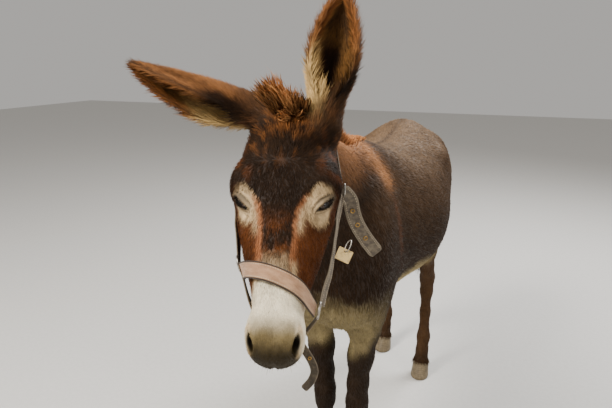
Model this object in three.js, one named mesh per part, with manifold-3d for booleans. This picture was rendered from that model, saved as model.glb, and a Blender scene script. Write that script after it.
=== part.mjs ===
// A life-size donkey that stands with its head low and turned a little to its left, wearing a halter.
// Millimetres. It faces -Y, +X is its left side and +Z is up; its hooves stand on z = 0.
import * as THREE from "three";
import { mergeVertices } from "three/addons/utils/BufferGeometryUtils.js";
import Module from "manifold-3d";

const wasm = await Module();
wasm.setup();

// ------------------------------------------------------------------ driving dimensions
const CUT_GAP = 0.4; // between two pieces of flesh that meet
const MIDLINE_X = -4; // the trunk's middle plane
const POLL = new THREE.Vector3(5, -730, 1222);
const HEAD_PITCH = 47; // degrees, nose below the level
const HEAD_YAW = 17; // degrees, nose to its left
const EYE_RADIUS = 20;
const EYE_CENTRE = [65, -187, -19]; // head frame: x left, y back, z out of the forehead
const EAR_LENGTH = 280;
const EAR_SKIN = 5; // half the thickness of an ear's edge
const EAR_BACK = 30; // from the ear's line to the back of its cup

// Sections of the trunk: place along it, half width, top, bottom, taper (wider below where negative).
const TRUNK = [
  [-500, 80, 900, 660, 0],
  [-430, 102, 985, 615, 0],
  [-340, 108, 1075, 588, -0.06],
  [-260, 130, 1096, 592, -0.08],
  [-130, 174, 1078, 608, -0.1],
  [20, 216, 1062, 604, -0.14],
  [150, 218, 1070, 612, -0.12],
  [280, 196, 1096, 638, -0.14],
  [380, 166, 1098, 678, -0.16],
  [470, 138, 1054, 704, -0.1],
  [570, 80, 950, 770, 0],
];
// Muscles on both sides of the trunk: centre, radii, blend.
const MUSCLES = [
  { name: "shoulder blade", at: [78, -360, 810], radii: [48, 100, 190], blend: 60 },
  { name: "point of shoulder", at: [66, -440, 735], radii: [55, 58, 80], blend: 50 },
  { name: "breast", at: [40, -480, 790], radii: [50, 40, 110], blend: 60 },
  { name: "haunch", at: [98, 400, 868], radii: [80, 155, 165], blend: 70 },
  { name: "thigh", at: [105, 350, 720], radii: [68, 115, 130], blend: 60 },
  { name: "buttock", at: [75, 520, 850], radii: [70, 62, 125], blend: 60 },
  { name: "point of hip", at: [128, 285, 962], radii: [45, 55, 45], blend: 60 },
];
const NECK_BASE = new THREE.Vector3(-5, -300, 900);
const NECK_TOP = new THREE.Vector3(0, -690, 1130);
// Sections of the neck from its base: place, half width, crest, throat, taper.
const NECK = [
  [-140, 105, 190, -270, -0.1],
  [0, 100, 178, -245, -0.15],
  [120, 84, 155, -192, -0.15],
  [240, 72, 128, -148, -0.12],
  [360, 64, 106, -114, -0.1],
  [450, 60, 92, -98, -0.05],
  [530, 50, 70, -80, 0],
];
// Sections of the head from the poll to the nose: place, half width, top, bottom, taper.
const SKULL = [
  [-20, 62, -26, -125, 0],
  [25, 74, 2, -160, 0.08],
  [75, 86, 16, -188, 0.2],
  [130, 92, 20, -198, 0.3],
  [180, 86, 15, -186, 0.34],
  [235, 77, 6, -160, 0.2],
  [292, 65, -2, -137, 0.08],
  [345, 50, -8, -120, 0.02],
  [400, 42, -14, -110, 0],
  [452, 36, -38, -100, 0],
];
// Rounded features on both sides of the head, in its frame: centre, radii, blend.
const FEATURES = [
  { name: "brow", at: [68, -150, -20], radii: [32, 42, 30], blend: 30 },
  { name: "cheek", at: [48, -140, -112], radii: [34, 75, 68], blend: 35 },
  { name: "wing of the nostril", at: [27, -416, -46], radii: [23, 33, 33], blend: 20 },
  { name: "upper lip", at: [0, -440, -66], radii: [36, 25, 33], blend: 25 },
  { name: "chin", at: [0, -408, -104], radii: [27, 33, 19], blend: 20 },
];
const ORBIT_HOLLOW = { at: [108, -222, 8], radii: [34, 46, 32], blend: 26 };
const NOSTRIL = { at: [40, -438, -36], radii: [9, 15, 15] };

// Legs from the top down: centre, half width, half depth. The last row is the coronet.
const LEGS = {
  front_left: [
    [72, -335, 690, 46, 78],
    [62, -338, 600, 42, 64],
    [50, -338, 500, 36, 46],
    [43, -336, 410, 30, 35],
    [42, -338, 350, 31, 34],
    [42, -336, 312, 29, 31],
    [43, -330, 240, 20, 26],
    [45, -330, 150, 24, 29],
    [46, -346, 100, 22, 25],
    [47, -360, 62, 31, 34],
  ],
  front_right: [
    [-94, -325, 690, 46, 78],
    [-86, -326, 600, 42, 64],
    [-75, -320, 500, 36, 46],
    [-70, -312, 410, 29, 35],
    [-67, -310, 350, 30, 34],
    [-67, -306, 312, 28, 31],
    [-69, -298, 240, 20, 26],
    [-71, -295, 150, 24, 29],
    [-72, -311, 100, 22, 25],
    [-73, -326, 62, 31, 34],
  ],
  hind_left: [
    [112, 335, 720, 56, 96],
    [106, 400, 590, 38, 60],
    [100, 460, 490, 27, 40],
    [98, 500, 425, 29, 41],
    [98, 500, 365, 25, 32],
    [99, 492, 270, 20, 26],
    [100, 478, 160, 24, 30],
    [100, 462, 108, 22, 25],
    [100, 448, 62, 31, 35],
  ],
  hind_right: [
    [-112, 400, 720, 56, 96],
    [-108, 490, 590, 38, 60],
    [-104, 580, 490, 27, 40],
    [-102, 626, 425, 29, 41],
    [-102, 632, 365, 25, 32],
    [-102, 638, 270, 20, 26],
    [-102, 640, 160, 24, 30],
    [-102, 626, 108, 22, 25],
    [-102, 612, 62, 31, 35],
  ],
};
const HOCK_POINTS = { hind_left: [98, 526, 455], hind_right: [-102, 664, 458] };
const HOCK_RADIUS = 16;
// The blocks of space that hold each leg: its flesh in the block is the leg's, the rest the trunk's.
const LEG_TOP = { front: 575, hind: 600 };
const LEG_DEPTH = { front: [-440, -235], hind: [285, 720] };
const BETWEEN_LEGS = -8;
const HOOF_HEIGHT = 60;
const CORONET_SLOPE = 0.27;

// Ears: root in the head's frame; the line of the ear and the way its cup opens in the world's.
const EARS = {
  left: { root: [64, -2, -14], line: [-0.02, 0.46, 0.88], opening: [0.31, -0.84, 0.45] },
  right: { root: [-61, 10, -16], line: [-0.94, -0.23, 0.25], opening: [-0.03, -0.69, -0.73] },
};
// Sections of an ear from its root: place, half angle of the cup in degrees, radius of the cup.
const EAR = [
  [0, 168, 28],
  [35, 140, 33],
  [75, 112, 41],
  [120, 101, 45],
  [165, 93, 42],
  [205, 86, 34],
  [242, 78, 23],
  [266, 72, 12],
  [280, 68, 4],
];

// ------------------------------------------------------------------ vectors and colours
const vec = (x, y, z) => new THREE.Vector3(x, y, z);
const from = (array) => new THREE.Vector3(...array);
const radians = THREE.MathUtils.degToRad;

// The head's frame stands at the poll.
const HEAD_FRAME = new THREE.Matrix4().compose(
  POLL,
  new THREE.Quaternion().setFromEuler(
    new THREE.Euler(radians(HEAD_PITCH), 0, radians(HEAD_YAW), "ZXY"),
  ),
  vec(1, 1, 1),
);
const TO_HEAD = HEAD_FRAME.clone().invert();

// ------------------------------------------------------------------ fields: negative inside the flesh
function smoothMin(a, b, k) {
  const h = Math.max(k - Math.abs(a - b), 0) / k;
  return Math.min(a, b) - h * h * k * 0.25;
}
const smoothMax = (a, b, k) => -smoothMin(-a, -b, k);

function ellipsoid(x, y, z, { at, radii }) {
  const [a, b, c] = [x - at[0], y - at[1], z - at[2]];
  const [ra, rb, rc] = radii;
  const near = Math.hypot(a / ra, b / rb, c / rc);
  const slope = Math.hypot(a / ra ** 2, b / rb ** 2, c / rc ** 2);
  return near < 0.01 ? -Math.min(ra, rb, rc) : (near * (near - 1)) / slope;
}

// A tapered length of limb with oval sections; rows are x, y, z, half width, half depth.
function limb(p, upper, lower) {
  const ab = lower.slice(0, 3).map((v, i) => v - upper[i]);
  const ap = [p.x - upper[0], p.y - upper[1], p.z - upper[2]];
  const dot = (u, v) => u[0] * v[0] + u[1] * v[1] + u[2] * v[2];
  const t = THREE.MathUtils.clamp(dot(ap, ab) / dot(ab, ab), 0, 1);
  const q = ap.map((v, i) => v - ab[i] * t);
  const wide = upper[3] + (lower[3] - upper[3]) * t;
  const deep = upper[4] + (lower[4] - upper[4]) * t;
  const around = Math.hypot(q[1], q[2]);
  const near = Math.hypot(q[0] / wide, around / deep);
  const slope = Math.hypot(q[0] / wide ** 2, around / deep ** 2);
  return near < 0.01 ? -Math.min(wide, deep) : (near * (near - 1)) / slope;
}

// Every column of a table at place s, on smooth curves that are level past the ends.
function sample(table, s) {
  const last = table.length - 1;
  let i = 0;
  while (i < last - 1 && table[i + 1][0] < s) i++;
  const [a, b] = [table[i], table[i + 1]];
  const [before, after] = [table[Math.max(i - 1, 0)], table[Math.min(i + 2, last)]];
  const h = b[0] - a[0];
  const t = THREE.MathUtils.clamp((s - a[0]) / h, 0, 1);
  return a.slice(1).map((start, j) => {
    const end = b[j + 1];
    const slopeA = (end - before[j + 1]) / (b[0] - before[0]);
    const slopeB = (after[j + 1] - start) / (after[0] - a[0]);
    const t2 = t * t;
    const t3 = t2 * t;
    return (
      (2 * t3 - 3 * t2 + 1) * start +
      (t3 - 2 * t2 + t) * h * slopeA +
      (3 * t2 - 2 * t3) * end +
      (t3 - t2) * h * slopeB
    );
  });
}

// A body through oval sections: s along it, x across, z up; its ends are rounded.
function loft(s, x, z, table, power, ends) {
  const [wide, top, low, taper] = sample(table, s);
  const half = (top - low) / 2;
  const v = (z - (top + low) / 2) / half;
  const w = wide * (1 + taper * THREE.MathUtils.clamp(v, -1, 1));
  const ax = Math.abs(x) / w + 1e-6;
  const av = Math.abs(v) + 1e-6;
  const near = (ax ** power + av ** power) ** (1 / power);
  const slope =
    near ** (1 - power) * Math.hypot(ax ** (power - 1) / w, av ** (power - 1) / half);
  const first = table[0][0];
  const final = table[table.length - 1][0];
  const past = Math.abs(s - (first + final) / 2) - (final - first) / 2;
  return smoothMax((near - 1) / Math.max(slope, 0.25 / wide), past, ends);
}

function trunkField(p) {
  const x = Math.abs(p.x - MIDLINE_X);
  let d = loft(p.y, x, p.z, TRUNK, 2.05, 120);
  for (const muscle of MUSCLES) d = smoothMin(d, ellipsoid(x, p.y, p.z, muscle), muscle.blend);
  return d;
}

const neckLine = NECK_TOP.clone().sub(NECK_BASE).normalize();
const neckAcross = vec(0, 0, 1).cross(neckLine).normalize();
const neckUp = neckLine.clone().cross(neckAcross);

function neckField(p) {
  const q = p.clone().sub(NECK_BASE);
  return loft(q.dot(neckLine), q.dot(neckAcross), q.dot(neckUp), NECK, 2.1, 60);
}

function headField(p) {
  const q = p.clone().applyMatrix4(TO_HEAD);
  const x = Math.abs(q.x);
  let d = loft(-q.y, q.x, q.z, SKULL, 2.4, 45);
  for (const feature of FEATURES) d = smoothMin(d, ellipsoid(x, q.y, q.z, feature), feature.blend);
  const crest = limb({ x, y: q.y, z: q.z }, [66, -205, -55, 15, 15], [46, -285, -60, 8, 9]);
  d = smoothMin(d, crest, 25);
  return smoothMax(d, -ellipsoid(x, q.y, q.z, ORBIT_HOLLOW), ORBIT_HOLLOW.blend);
}

function hoofField(p, [x, y, z, wide, deep]) {
  return limb(p, [x, y, z - 6, wide + 1, deep + 1], [x, y - 18, 4, wide + 6, deep + 10]);
}

function legField(p, name) {
  const rows = LEGS[name];
  let d = hoofField(p, rows[rows.length - 1]);
  for (let i = 1; i < rows.length; i++) d = smoothMin(d, limb(p, rows[i - 1], rows[i]), 20);
  if (!HOCK_POINTS[name]) return d;
  const radii = [HOCK_RADIUS * 0.9, HOCK_RADIUS, HOCK_RADIUS * 1.5];
  return smoothMin(d, ellipsoid(p.x, p.y, p.z, { at: HOCK_POINTS[name], radii }), 24);
}

// Each ear's own frame in the world: x across the cup, y out of it, z along the ear.
function earFrame({ root, line, opening }) {
  const base = from(root).applyMatrix4(HEAD_FRAME);
  const along = from(line).normalize();
  const out = from(opening).addScaledVector(along, -from(opening).dot(along)).normalize();
  const across = out.clone().cross(along);
  return new THREE.Matrix4().makeBasis(across, out, along).setPosition(base);
}
const EAR_FRAMES = { left: earFrame(EARS.left), right: earFrame(EARS.right) };

// The round muscle under each ear.
function earRootField(p, side) {
  const low = vec(0, 0, -25).applyMatrix4(EAR_FRAMES[side]);
  const high = vec(0, 0, 28).applyMatrix4(EAR_FRAMES[side]);
  return limb(p, [...low.toArray(), 36, 36], [...high.toArray(), 31, 31]);
}

function bodyField(p) {
  let d = smoothMin(trunkField(p), neckField(p), 90);
  for (const name of Object.keys(LEGS)) d = smoothMin(d, legField(p, name), 40);
  d = smoothMin(d, headField(p), 45);
  for (const side of ["left", "right"]) d = smoothMin(d, earRootField(p, side), 30);
  return d;
}

// ------------------------------------------------------------------ solids
// Distance from a centre to the field's surface along a ray, held short of the limiting planes.
function reach(field, centre, direction, limits) {
  let far = 900;
  for (const { point, normal } of limits) {
    const slope = direction.dot(normal);
    if (slope > 1e-6) far = Math.min(far, (normal.dot(point) - normal.dot(centre)) / slope);
  }
  const at = (r) => field(centre.clone().addScaledVector(direction, r));
  let inside = 0;
  let r = 0;
  while (r < far) {
    const value = at(r);
    if (value >= 0) break;
    inside = r;
    r += Math.max(-value * 0.7, 1.5);
  }
  let outside = Math.min(r, far);
  if (r >= far && at(far) < 0) return far;
  for (let i = 0; i < 18; i++) {
    const middle = (inside + outside) / 2;
    if (at(middle) < 0) inside = middle;
    else outside = middle;
  }
  return inside;
}

// The sides between rings of points; the rings run counter-clockwise about the way they go.
function ringSides(rings) {
  const sectors = rings[0].length;
  const index = [];
  for (let i = 0; i < rings.length - 1; i++) {
    for (let j = 0; j < sectors; j++) {
      const [a, b] = [i * sectors + j, i * sectors + ((j + 1) % sectors)];
      index.push(a, b, b + sectors, a, b + sectors, a + sectors);
    }
  }
  return index;
}

function indexed(points, index) {
  const geometry = new THREE.BufferGeometry().setFromPoints(points);
  geometry.setIndex(index);
  return geometry;
}

// Closed geometry from rings, with a first and a last point to cap it.
function closedRings(first, rings, last) {
  const sectors = rings[0].length;
  const count = rings.length * sectors;
  const index = ringSides(rings);
  for (let j = 0; j < sectors; j++) {
    const next = (j + 1) % sectors;
    index.push(count, next, j);
    index.push(count + 1, count - sectors + j, count - sectors + next);
  }
  return indexed([...rings.flat(), first, last], index);
}

// Closed geometry from C-shaped rings: each ring is an outer arc and, the other way, an inner arc.
function closedCup(rings) {
  const sectors = rings[0].length;
  const arc = sectors / 2 - 1;
  const start = (rings.length - 1) * sectors;
  const index = ringSides(rings);
  for (let j = 0; j < arc; j++) {
    const [outer, inner] = [j, sectors - 1 - j];
    index.push(outer, inner, inner - 1, outer, inner - 1, outer + 1);
    index.push(start + outer, start + outer + 1, start + inner - 1);
    index.push(start + outer, start + inner - 1, start + inner);
  }
  return indexed(rings.flat(), index);
}

// Flesh round a line of centres, by rays to the field's surface; at each end the rays fan out to a pole.
function castFlesh(field, centres, { sectors, fan, up, limits = [] }) {
  const count = centres.length;
  const frames = centres.map((centre, i) => {
    const along = centres[Math.min(i + 1, count - 1)].clone().sub(centres[Math.max(i - 1, 0)]).normalize();
    const across = up.clone().cross(along).normalize();
    return { centre, along, across, rise: along.clone().cross(across) };
  });
  const point = ({ centre, along, across, rise }, angle, tilt) => {
    const direction = across.clone().multiplyScalar(Math.cos(angle) * Math.cos(tilt));
    direction.addScaledVector(rise, Math.sin(angle) * Math.cos(tilt));
    direction.addScaledVector(along, Math.sin(tilt));
    return centre.clone().addScaledVector(direction, reach(field, centre, direction, limits));
  };
  const ring = (frame, tilt) =>
    Array.from({ length: sectors }, (_, j) => point(frame, (2 * Math.PI * j) / sectors, tilt));
  const tilts = fan.map((n) => Array.from({ length: n }, (_, k) => ((k + 1) / (n + 1)) * (Math.PI / 2)));
  const [start, end] = [frames[0], frames[count - 1]];
  const rings = [
    ...tilts[0].toReversed().map((tilt) => ring(start, -tilt)),
    ...frames.map((frame) => ring(frame, 0)),
    ...tilts[1].map((tilt) => ring(end, tilt)),
  ];
  return closedRings(point(start, 0, -Math.PI / 2), rings, point(end, 0, Math.PI / 2));
}

function solidOf(geometry, matrix = new THREE.Matrix4()) {
  const bare = geometry.clone().applyMatrix4(matrix);
  bare.deleteAttribute("normal");
  bare.deleteAttribute("uv");
  const merged = mergeVertices(bare, 1e-4);
  return new wasm.Manifold(
    new wasm.Mesh({
      numProp: 3,
      vertProperties: merged.attributes.position.array,
      triVerts: new Uint32Array(merged.index.array),
    }),
  );
}

function geometryOf(solid) {
  const mesh = solid.getMesh();
  const geometry = new THREE.BufferGeometry();
  geometry.setAttribute("position", new THREE.BufferAttribute(mesh.vertProperties, 3));
  geometry.setIndex(new THREE.BufferAttribute(mesh.triVerts, 1));
  return geometry;
}

const HALF_SPACE = 3000;
// Everything on the far side of a plane, the side its normal points to, kept off the plane by a gap.
function beyond({ point, normal }, gap = -CUT_GAP / 2) {
  const turn = new THREE.Quaternion().setFromUnitVectors(vec(0, 0, 1), normal);
  const centre = point.clone().addScaledVector(normal, HALF_SPACE / 2 + gap);
  const matrix = new THREE.Matrix4().compose(centre, turn, vec(1, 1, 1));
  return solidOf(new THREE.BoxGeometry(HALF_SPACE, HALF_SPACE, HALF_SPACE), matrix);
}
const opposite = ({ point, normal }) => ({ point, normal: normal.clone().negate() });
const shifted = ({ point, normal }, by) => ({ point: point.clone().addScaledVector(normal, by), normal });

function block(min, max, grow) {
  const size = max.map((v, i) => v - min[i] + 2 * grow);
  const middle = max.map((v, i) => (v + min[i]) / 2);
  return solidOf(new THREE.BoxGeometry(...size), new THREE.Matrix4().setPosition(...middle));
}

// A piece without what its neighbour fills, and clear of it by the gap along a direction.
function seat(piece, neighbour, direction) {
  const step = direction.clone().normalize().multiplyScalar(CUT_GAP);
  return piece.subtract(neighbour).subtract(neighbour.translate(step.toArray()));
}

// The one body with the most volume: seats and cuts can leave crumbs.
function largest(solid) {
  return solid.decompose().reduce((a, b) => (a.volume() >= b.volume() ? a : b));
}

const line = (start, end, count) =>
  Array.from({ length: count }, (_, i) => start.clone().lerp(end, i / (count - 1)));

// ------------------------------------------------------------------ flesh
const inHead = (x, s, z) => vec(x, -s, z).applyMatrix4(HEAD_FRAME);
const headAxis = (x, s, z) => vec(x, -s, z).transformDirection(HEAD_FRAME);
const NECK_PLANE = { point: vec(0, -400, 930), normal: neckLine.clone() };
const HEAD_PLANE = { point: inHead(0, -30, -20), normal: headAxis(0, 0.818, 0.575) };
const PAST = 12; // rays run this far past a cut, and the cut takes it off again

function legBlock(name, grow) {
  const part = name.split("_")[0];
  const [near, back] = LEG_DEPTH[part];
  const side = name.endsWith("left") ? [BETWEEN_LEGS, 260] : [-260, BETWEEN_LEGS];
  return block([side[0], near, -100], [side[1], back, LEG_TOP[part]], grow);
}

function makeTrunk() {
  const belly = [
    { point: vec(0, 0, LEG_TOP.front - 30), normal: vec(0, 0, -1) },
    { point: vec(0, 150, LEG_TOP.front - 35), normal: vec(0, 0.15, -1).normalize() },
  ];
  const centres = line(vec(MIDLINE_X, -385, 800), vec(MIDLINE_X, 430, 860), 17);
  const limits = [shifted(NECK_PLANE, PAST), ...belly];
  const skin = castFlesh(bodyField, centres, { sectors: 28, fan: [4, 5], up: vec(0, 0, 1), limits });
  let trunk = solidOf(skin).subtract(beyond(NECK_PLANE));
  for (const name of Object.keys(LEGS)) trunk = trunk.subtract(legBlock(name, CUT_GAP / 2));
  return largest(trunk);
}

function makeNeck() {
  const onLine = (s) => NECK_BASE.clone().addScaledVector(neckLine, s);
  const centres = line(onLine(112), onLine(365), 10);
  const limits = [shifted(HEAD_PLANE, PAST), shifted(opposite(NECK_PLANE), PAST)];
  const skin = castFlesh(bodyField, centres, { sectors: 24, fan: [2, 3], up: vec(0, 0, 1), limits });
  return largest(solidOf(skin).subtract(beyond(HEAD_PLANE)).intersect(beyond(NECK_PLANE, CUT_GAP / 2)));
}

function eyeMatrix(side) {
  const [x, y, z] = EYE_CENTRE;
  return new THREE.Matrix4().setPosition(vec(side * x, y, z).applyMatrix4(HEAD_FRAME));
}

function makeHead() {
  const centres = line(inHead(0, 66, -84), inHead(0, 405, -64), 15);
  const limits = [shifted(opposite(HEAD_PLANE), PAST)];
  const options = { sectors: 28, fan: [4, 5], up: headAxis(0, 0, 1), limits };
  let head = solidOf(castFlesh(bodyField, centres, options)).intersect(beyond(HEAD_PLANE, CUT_GAP / 2));
  for (const side of [-1, 1]) {
    const socket = new THREE.IcosahedronGeometry(EYE_RADIUS + 2 * CUT_GAP, 2);
    head = head.subtract(solidOf(socket, eyeMatrix(side)));
    const hole = new THREE.IcosahedronGeometry(1, 2).scale(...NOSTRIL.radii);
    hole.translate(side * NOSTRIL.at[0], NOSTRIL.at[1], NOSTRIL.at[2]);
    head = head.subtract(solidOf(hole, HEAD_FRAME));
  }
  return largest(head);
}

function makeLeg(name) {
  const part = name.split("_")[0];
  const top = LEG_TOP[part];
  const rows = LEGS[name];
  const centres = [];
  for (let i = 0; i < rows.length - 1; i++) {
    for (const t of [0, 0.5]) {
      const centre = from(rows[i]).lerp(from(rows[i + 1]), t);
      if (centre.z < top + PAST / 2) centres.push(centre);
    }
  }
  const above = centres[0].clone().sub(centres[1]).normalize();
  centres.unshift(centres[0].clone().addScaledVector(above, (top + PAST / 2 - centres[0].z) / above.z));
  centres.push(from(rows[rows.length - 1]).setZ(HOOF_HEIGHT - 20));
  const [near, back] = LEG_DEPTH[part];
  const inner = name.endsWith("left") ? -1 : 1;
  const limits = [
    { point: vec(0, 0, top + PAST), normal: vec(0, 0, 1) },
    { point: vec(0, near - PAST, 0), normal: vec(0, -1, 0) },
    { point: vec(0, back + PAST, 0), normal: vec(0, 1, 0) },
    { point: vec(BETWEEN_LEGS + inner * PAST, 0, 0), normal: vec(inner, 0, 0) },
  ];
  const skin = castFlesh(bodyField, centres, { sectors: 12, fan: [0, 0], up: vec(0, 1, 0), limits });
  const leg = solidOf(skin).intersect(legBlock(name, -CUT_GAP / 2));
  return largest(leg.intersect(beyond(coronetPlane(name), CUT_GAP / 2)));
}

function coronetPlane(name) {
  const [x, y] = LEGS[name][LEGS[name].length - 1];
  return { point: vec(x, y, HOOF_HEIGHT), normal: vec(0, CORONET_SLOPE, 1).normalize() };
}

const HOOF_LEVELS = [0, 5, 20, 40, 58, 78];
function makeHoof(name) {
  const [x, y] = LEGS[name][LEGS[name].length - 1];
  const sectors = 14;
  const rings = HOOF_LEVELS.map((z) => {
    const centre = vec(x, y - 14 * (1 - z / HOOF_HEIGHT), z);
    return Array.from({ length: sectors }, (_, j) => {
      const angle = (2 * Math.PI * j) / sectors;
      const direction = vec(Math.cos(angle), Math.sin(angle), 0);
      const r = reach((p) => legField(p, name), centre, direction, []) - (z === 0 ? 2 : 0);
      return centre.clone().addScaledVector(direction, r);
    });
  });
  const hoof = solidOf(closedRings(vec(x, y - 14, 0), rings, vec(x, y, HOOF_LEVELS.at(-1))));
  return largest(hoof.subtract(beyond(coronetPlane(name))));
}

// ------------------------------------------------------------------ ears, tail and hair
const EAR_STEPS = 12;
const EAR_ARC = 8;

function makeEar(side, head, neck) {
  const rings = Array.from({ length: EAR_STEPS + 1 }, (_, i) => {
    const s = (EAR_LENGTH * i) / EAR_STEPS;
    const [half, radius] = sample(EAR, s);
    const skin = Math.min(EAR_SKIN, radius * 0.6);
    const open = THREE.MathUtils.smoothstep(s, 5, 60); // the cup fills up toward the root
    const inner = THREE.MathUtils.lerp(radius * 0.12, radius - skin, open);
    const put = (r, j) => {
      const angle = radians(half) * ((2 * j) / EAR_ARC - 1);
      return vec(r * Math.sin(angle), radius - EAR_BACK - r * Math.cos(angle), s);
    };
    const arc = Array.from({ length: EAR_ARC + 1 }, (_, j) => j);
    return [...arc.map((j) => put(radius + skin, j)), ...arc.toReversed().map((j) => put(inner, j))];
  });
  const towardTip = vec(0, 0, 1).transformDirection(EAR_FRAMES[side]);
  const ear = solidOf(closedCup(rings), EAR_FRAMES[side]);
  const towardNeck = HEAD_PLANE.normal.clone().negate();
  const onSkull = seat(seat(ear, head, towardTip), head, towardNeck);
  return largest(seat(onSkull, neck, towardTip));
}

// A round tube of changing width; rows are x, y, z, radius.
function taperedTube(rows, sectors) {
  const points = rows.map((row) => from(row));
  const rings = rows.map((row, i) => {
    const before = points[Math.max(i - 1, 0)];
    const along = points[Math.min(i + 1, rows.length - 1)].clone().sub(before).normalize();
    const across = vec(1, 0, 0).addScaledVector(along, -along.x).normalize();
    const rise = along.clone().cross(across);
    return Array.from({ length: sectors }, (_, j) => {
      const angle = (2 * Math.PI * j) / sectors;
      const point = points[i].clone().addScaledVector(across, row[3] * Math.cos(angle));
      return point.addScaledVector(rise, row[3] * Math.sin(angle));
    });
  });
  return closedRings(points[0], rings, points.at(-1));
}

// The dock of the tail and its tuft of long hair.
const TAIL = [
  [-4, 540, 985, 24],
  [-4, 575, 972, 24],
  [-4, 604, 935, 22],
  [-4, 616, 880, 19],
  [-3, 618, 800, 17],
  [0, 614, 720, 17],
  [4, 610, 660, 21],
  [7, 608, 600, 27],
  [10, 610, 530, 29],
  [12, 612, 460, 24],
  [13, 614, 405, 15],
  [13, 615, 370, 5],
];

const MANE_FROM = 25;
const MANE_TO = 500;
const MANE_STEPS = 15;
const MANE_HEIGHT = 34;
const MANE_HALF_WIDTH = 13;
const MANE_ROOT = 22;

// The short upright mane along the crest of the neck.
function makeManeSolid() {
  const rings = [];
  for (let i = 0; i <= MANE_STEPS; i++) {
    const share = i / MANE_STEPS;
    const along = THREE.MathUtils.lerp(MANE_FROM, MANE_TO, share);
    const centre = NECK_BASE.clone().addScaledVector(neckLine, along);
    const crest = reach((p) => bodyField(p), centre, neckUp, []);
    const taper = Math.sin(Math.PI * THREE.MathUtils.clamp(share * 0.92 + 0.05, 0, 1)) ** 0.45;
    const tip = MANE_HEIGHT * taper;
    const profile = [
      [-1, -MANE_ROOT],
      [1, -MANE_ROOT],
      [1, tip * 0.45],
      [0.35, tip],
      [-0.35, tip],
      [-1, tip * 0.45],
    ];
    const ring = profile.map(([across, up]) => {
      const point = centre.clone().addScaledVector(neckUp, crest + up);
      return point.addScaledVector(neckAcross, across * MANE_HALF_WIDTH * (0.5 + taper / 2));
    });
    rings.push(ring);
  }
  const middle = (ring) => ring.reduce((sum, p) => sum.add(p), vec(0, 0, 0)).divideScalar(ring.length);
  return solidOf(closedRings(middle(rings[0]), rings, middle(rings.at(-1))));
}

// Locks of the forelock: root and tip in the head's frame, half width at the root.
const FORELOCK = [
  { root: [-20, -4, -6], tip: [-46, -30, 50], wide: 17 },
  { root: [-6, -2, -4], tip: [-18, -38, 64], wide: 18 },
  { root: [8, 0, -4], tip: [8, -36, 66], wide: 18 },
  { root: [20, 0, -5], tip: [31, -26, 50], wide: 14 },
];

function makeForelock(head, neck) {
  const locks = FORELOCK.map(({ root, tip, wide }) => {
    const [low, high] = [inHead(...root), inHead(...tip)];
    const rows = [0, 0.35, 0.7, 1].map((t) => {
      const width = wide * (1.1 - 0.8 * t);
      return [...low.clone().lerp(high, t).toArray(), width];
    });
    rows[0] = [...low.clone().lerp(high, -0.3).toArray(), wide];
    return solidOf(taperedTube(rows, 7));
  });
  const tuft = locks.reduce((a, b) => a.add(b));
  const up = headAxis(0, 0, 1);
  return largest(seat(seat(tuft, head, up), neck, up));
}

// ------------------------------------------------------------------ halter, in the head's frame
const WEBBING = 3; // thickness of the straps
const RING_RADIUS = 14;
const RING_WIRE = 2.2;
const AXIS_DEPTH = -72; // the line inside the head that strap angles turn about
const LOOSE_FACING = vec(0.08, -0.467, 0.88).normalize(); // the way the tag and the loose end face

// A place on the head: s along it, an angle round its axis (0 its left, 90 its top), lift off the hair.
function onHead(s, degrees, lift) {
  const centre = inHead(0, s, AXIS_DEPTH);
  const direction = headAxis(Math.cos(radians(degrees)), 0, Math.sin(radians(degrees)));
  const point = centre.clone().addScaledVector(direction, reach(bodyField, centre, direction, []));
  const step = 5;
  const slope = ["x", "y", "z"].map((axis) => {
    const [more, less] = [point.clone(), point.clone()];
    more[axis] += step;
    less[axis] -= step;
    return bodyField(more) - bodyField(less);
  });
  const normal = from(slope).normalize();
  return {
    point: point.addScaledVector(normal, lift).applyMatrix4(TO_HEAD),
    normal: normal.transformDirection(TO_HEAD),
  };
}

// A flat band of even width along places with outward normals.
function strap(places, width, thickness) {
  const rings = places.map(({ point, normal }, i) => {
    const before = places[Math.max(i - 1, 0)].point;
    const along = places[Math.min(i + 1, places.length - 1)].point.clone().sub(before).normalize();
    const across = normal.clone().cross(along).normalize();
    const rise = along.clone().cross(across);
    const corner = (a, r) =>
      point.clone().addScaledVector(across, (a * width) / 2).addScaledVector(rise, r * thickness);
    return [corner(-1, 0), corner(1, 0), corner(1, 1), corner(-1, 1)];
  });
  const middle = ([a, , c]) => a.clone().lerp(c, 0.5);
  return closedRings(middle(rings[0]), rings, middle(rings.at(-1)));
}

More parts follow.
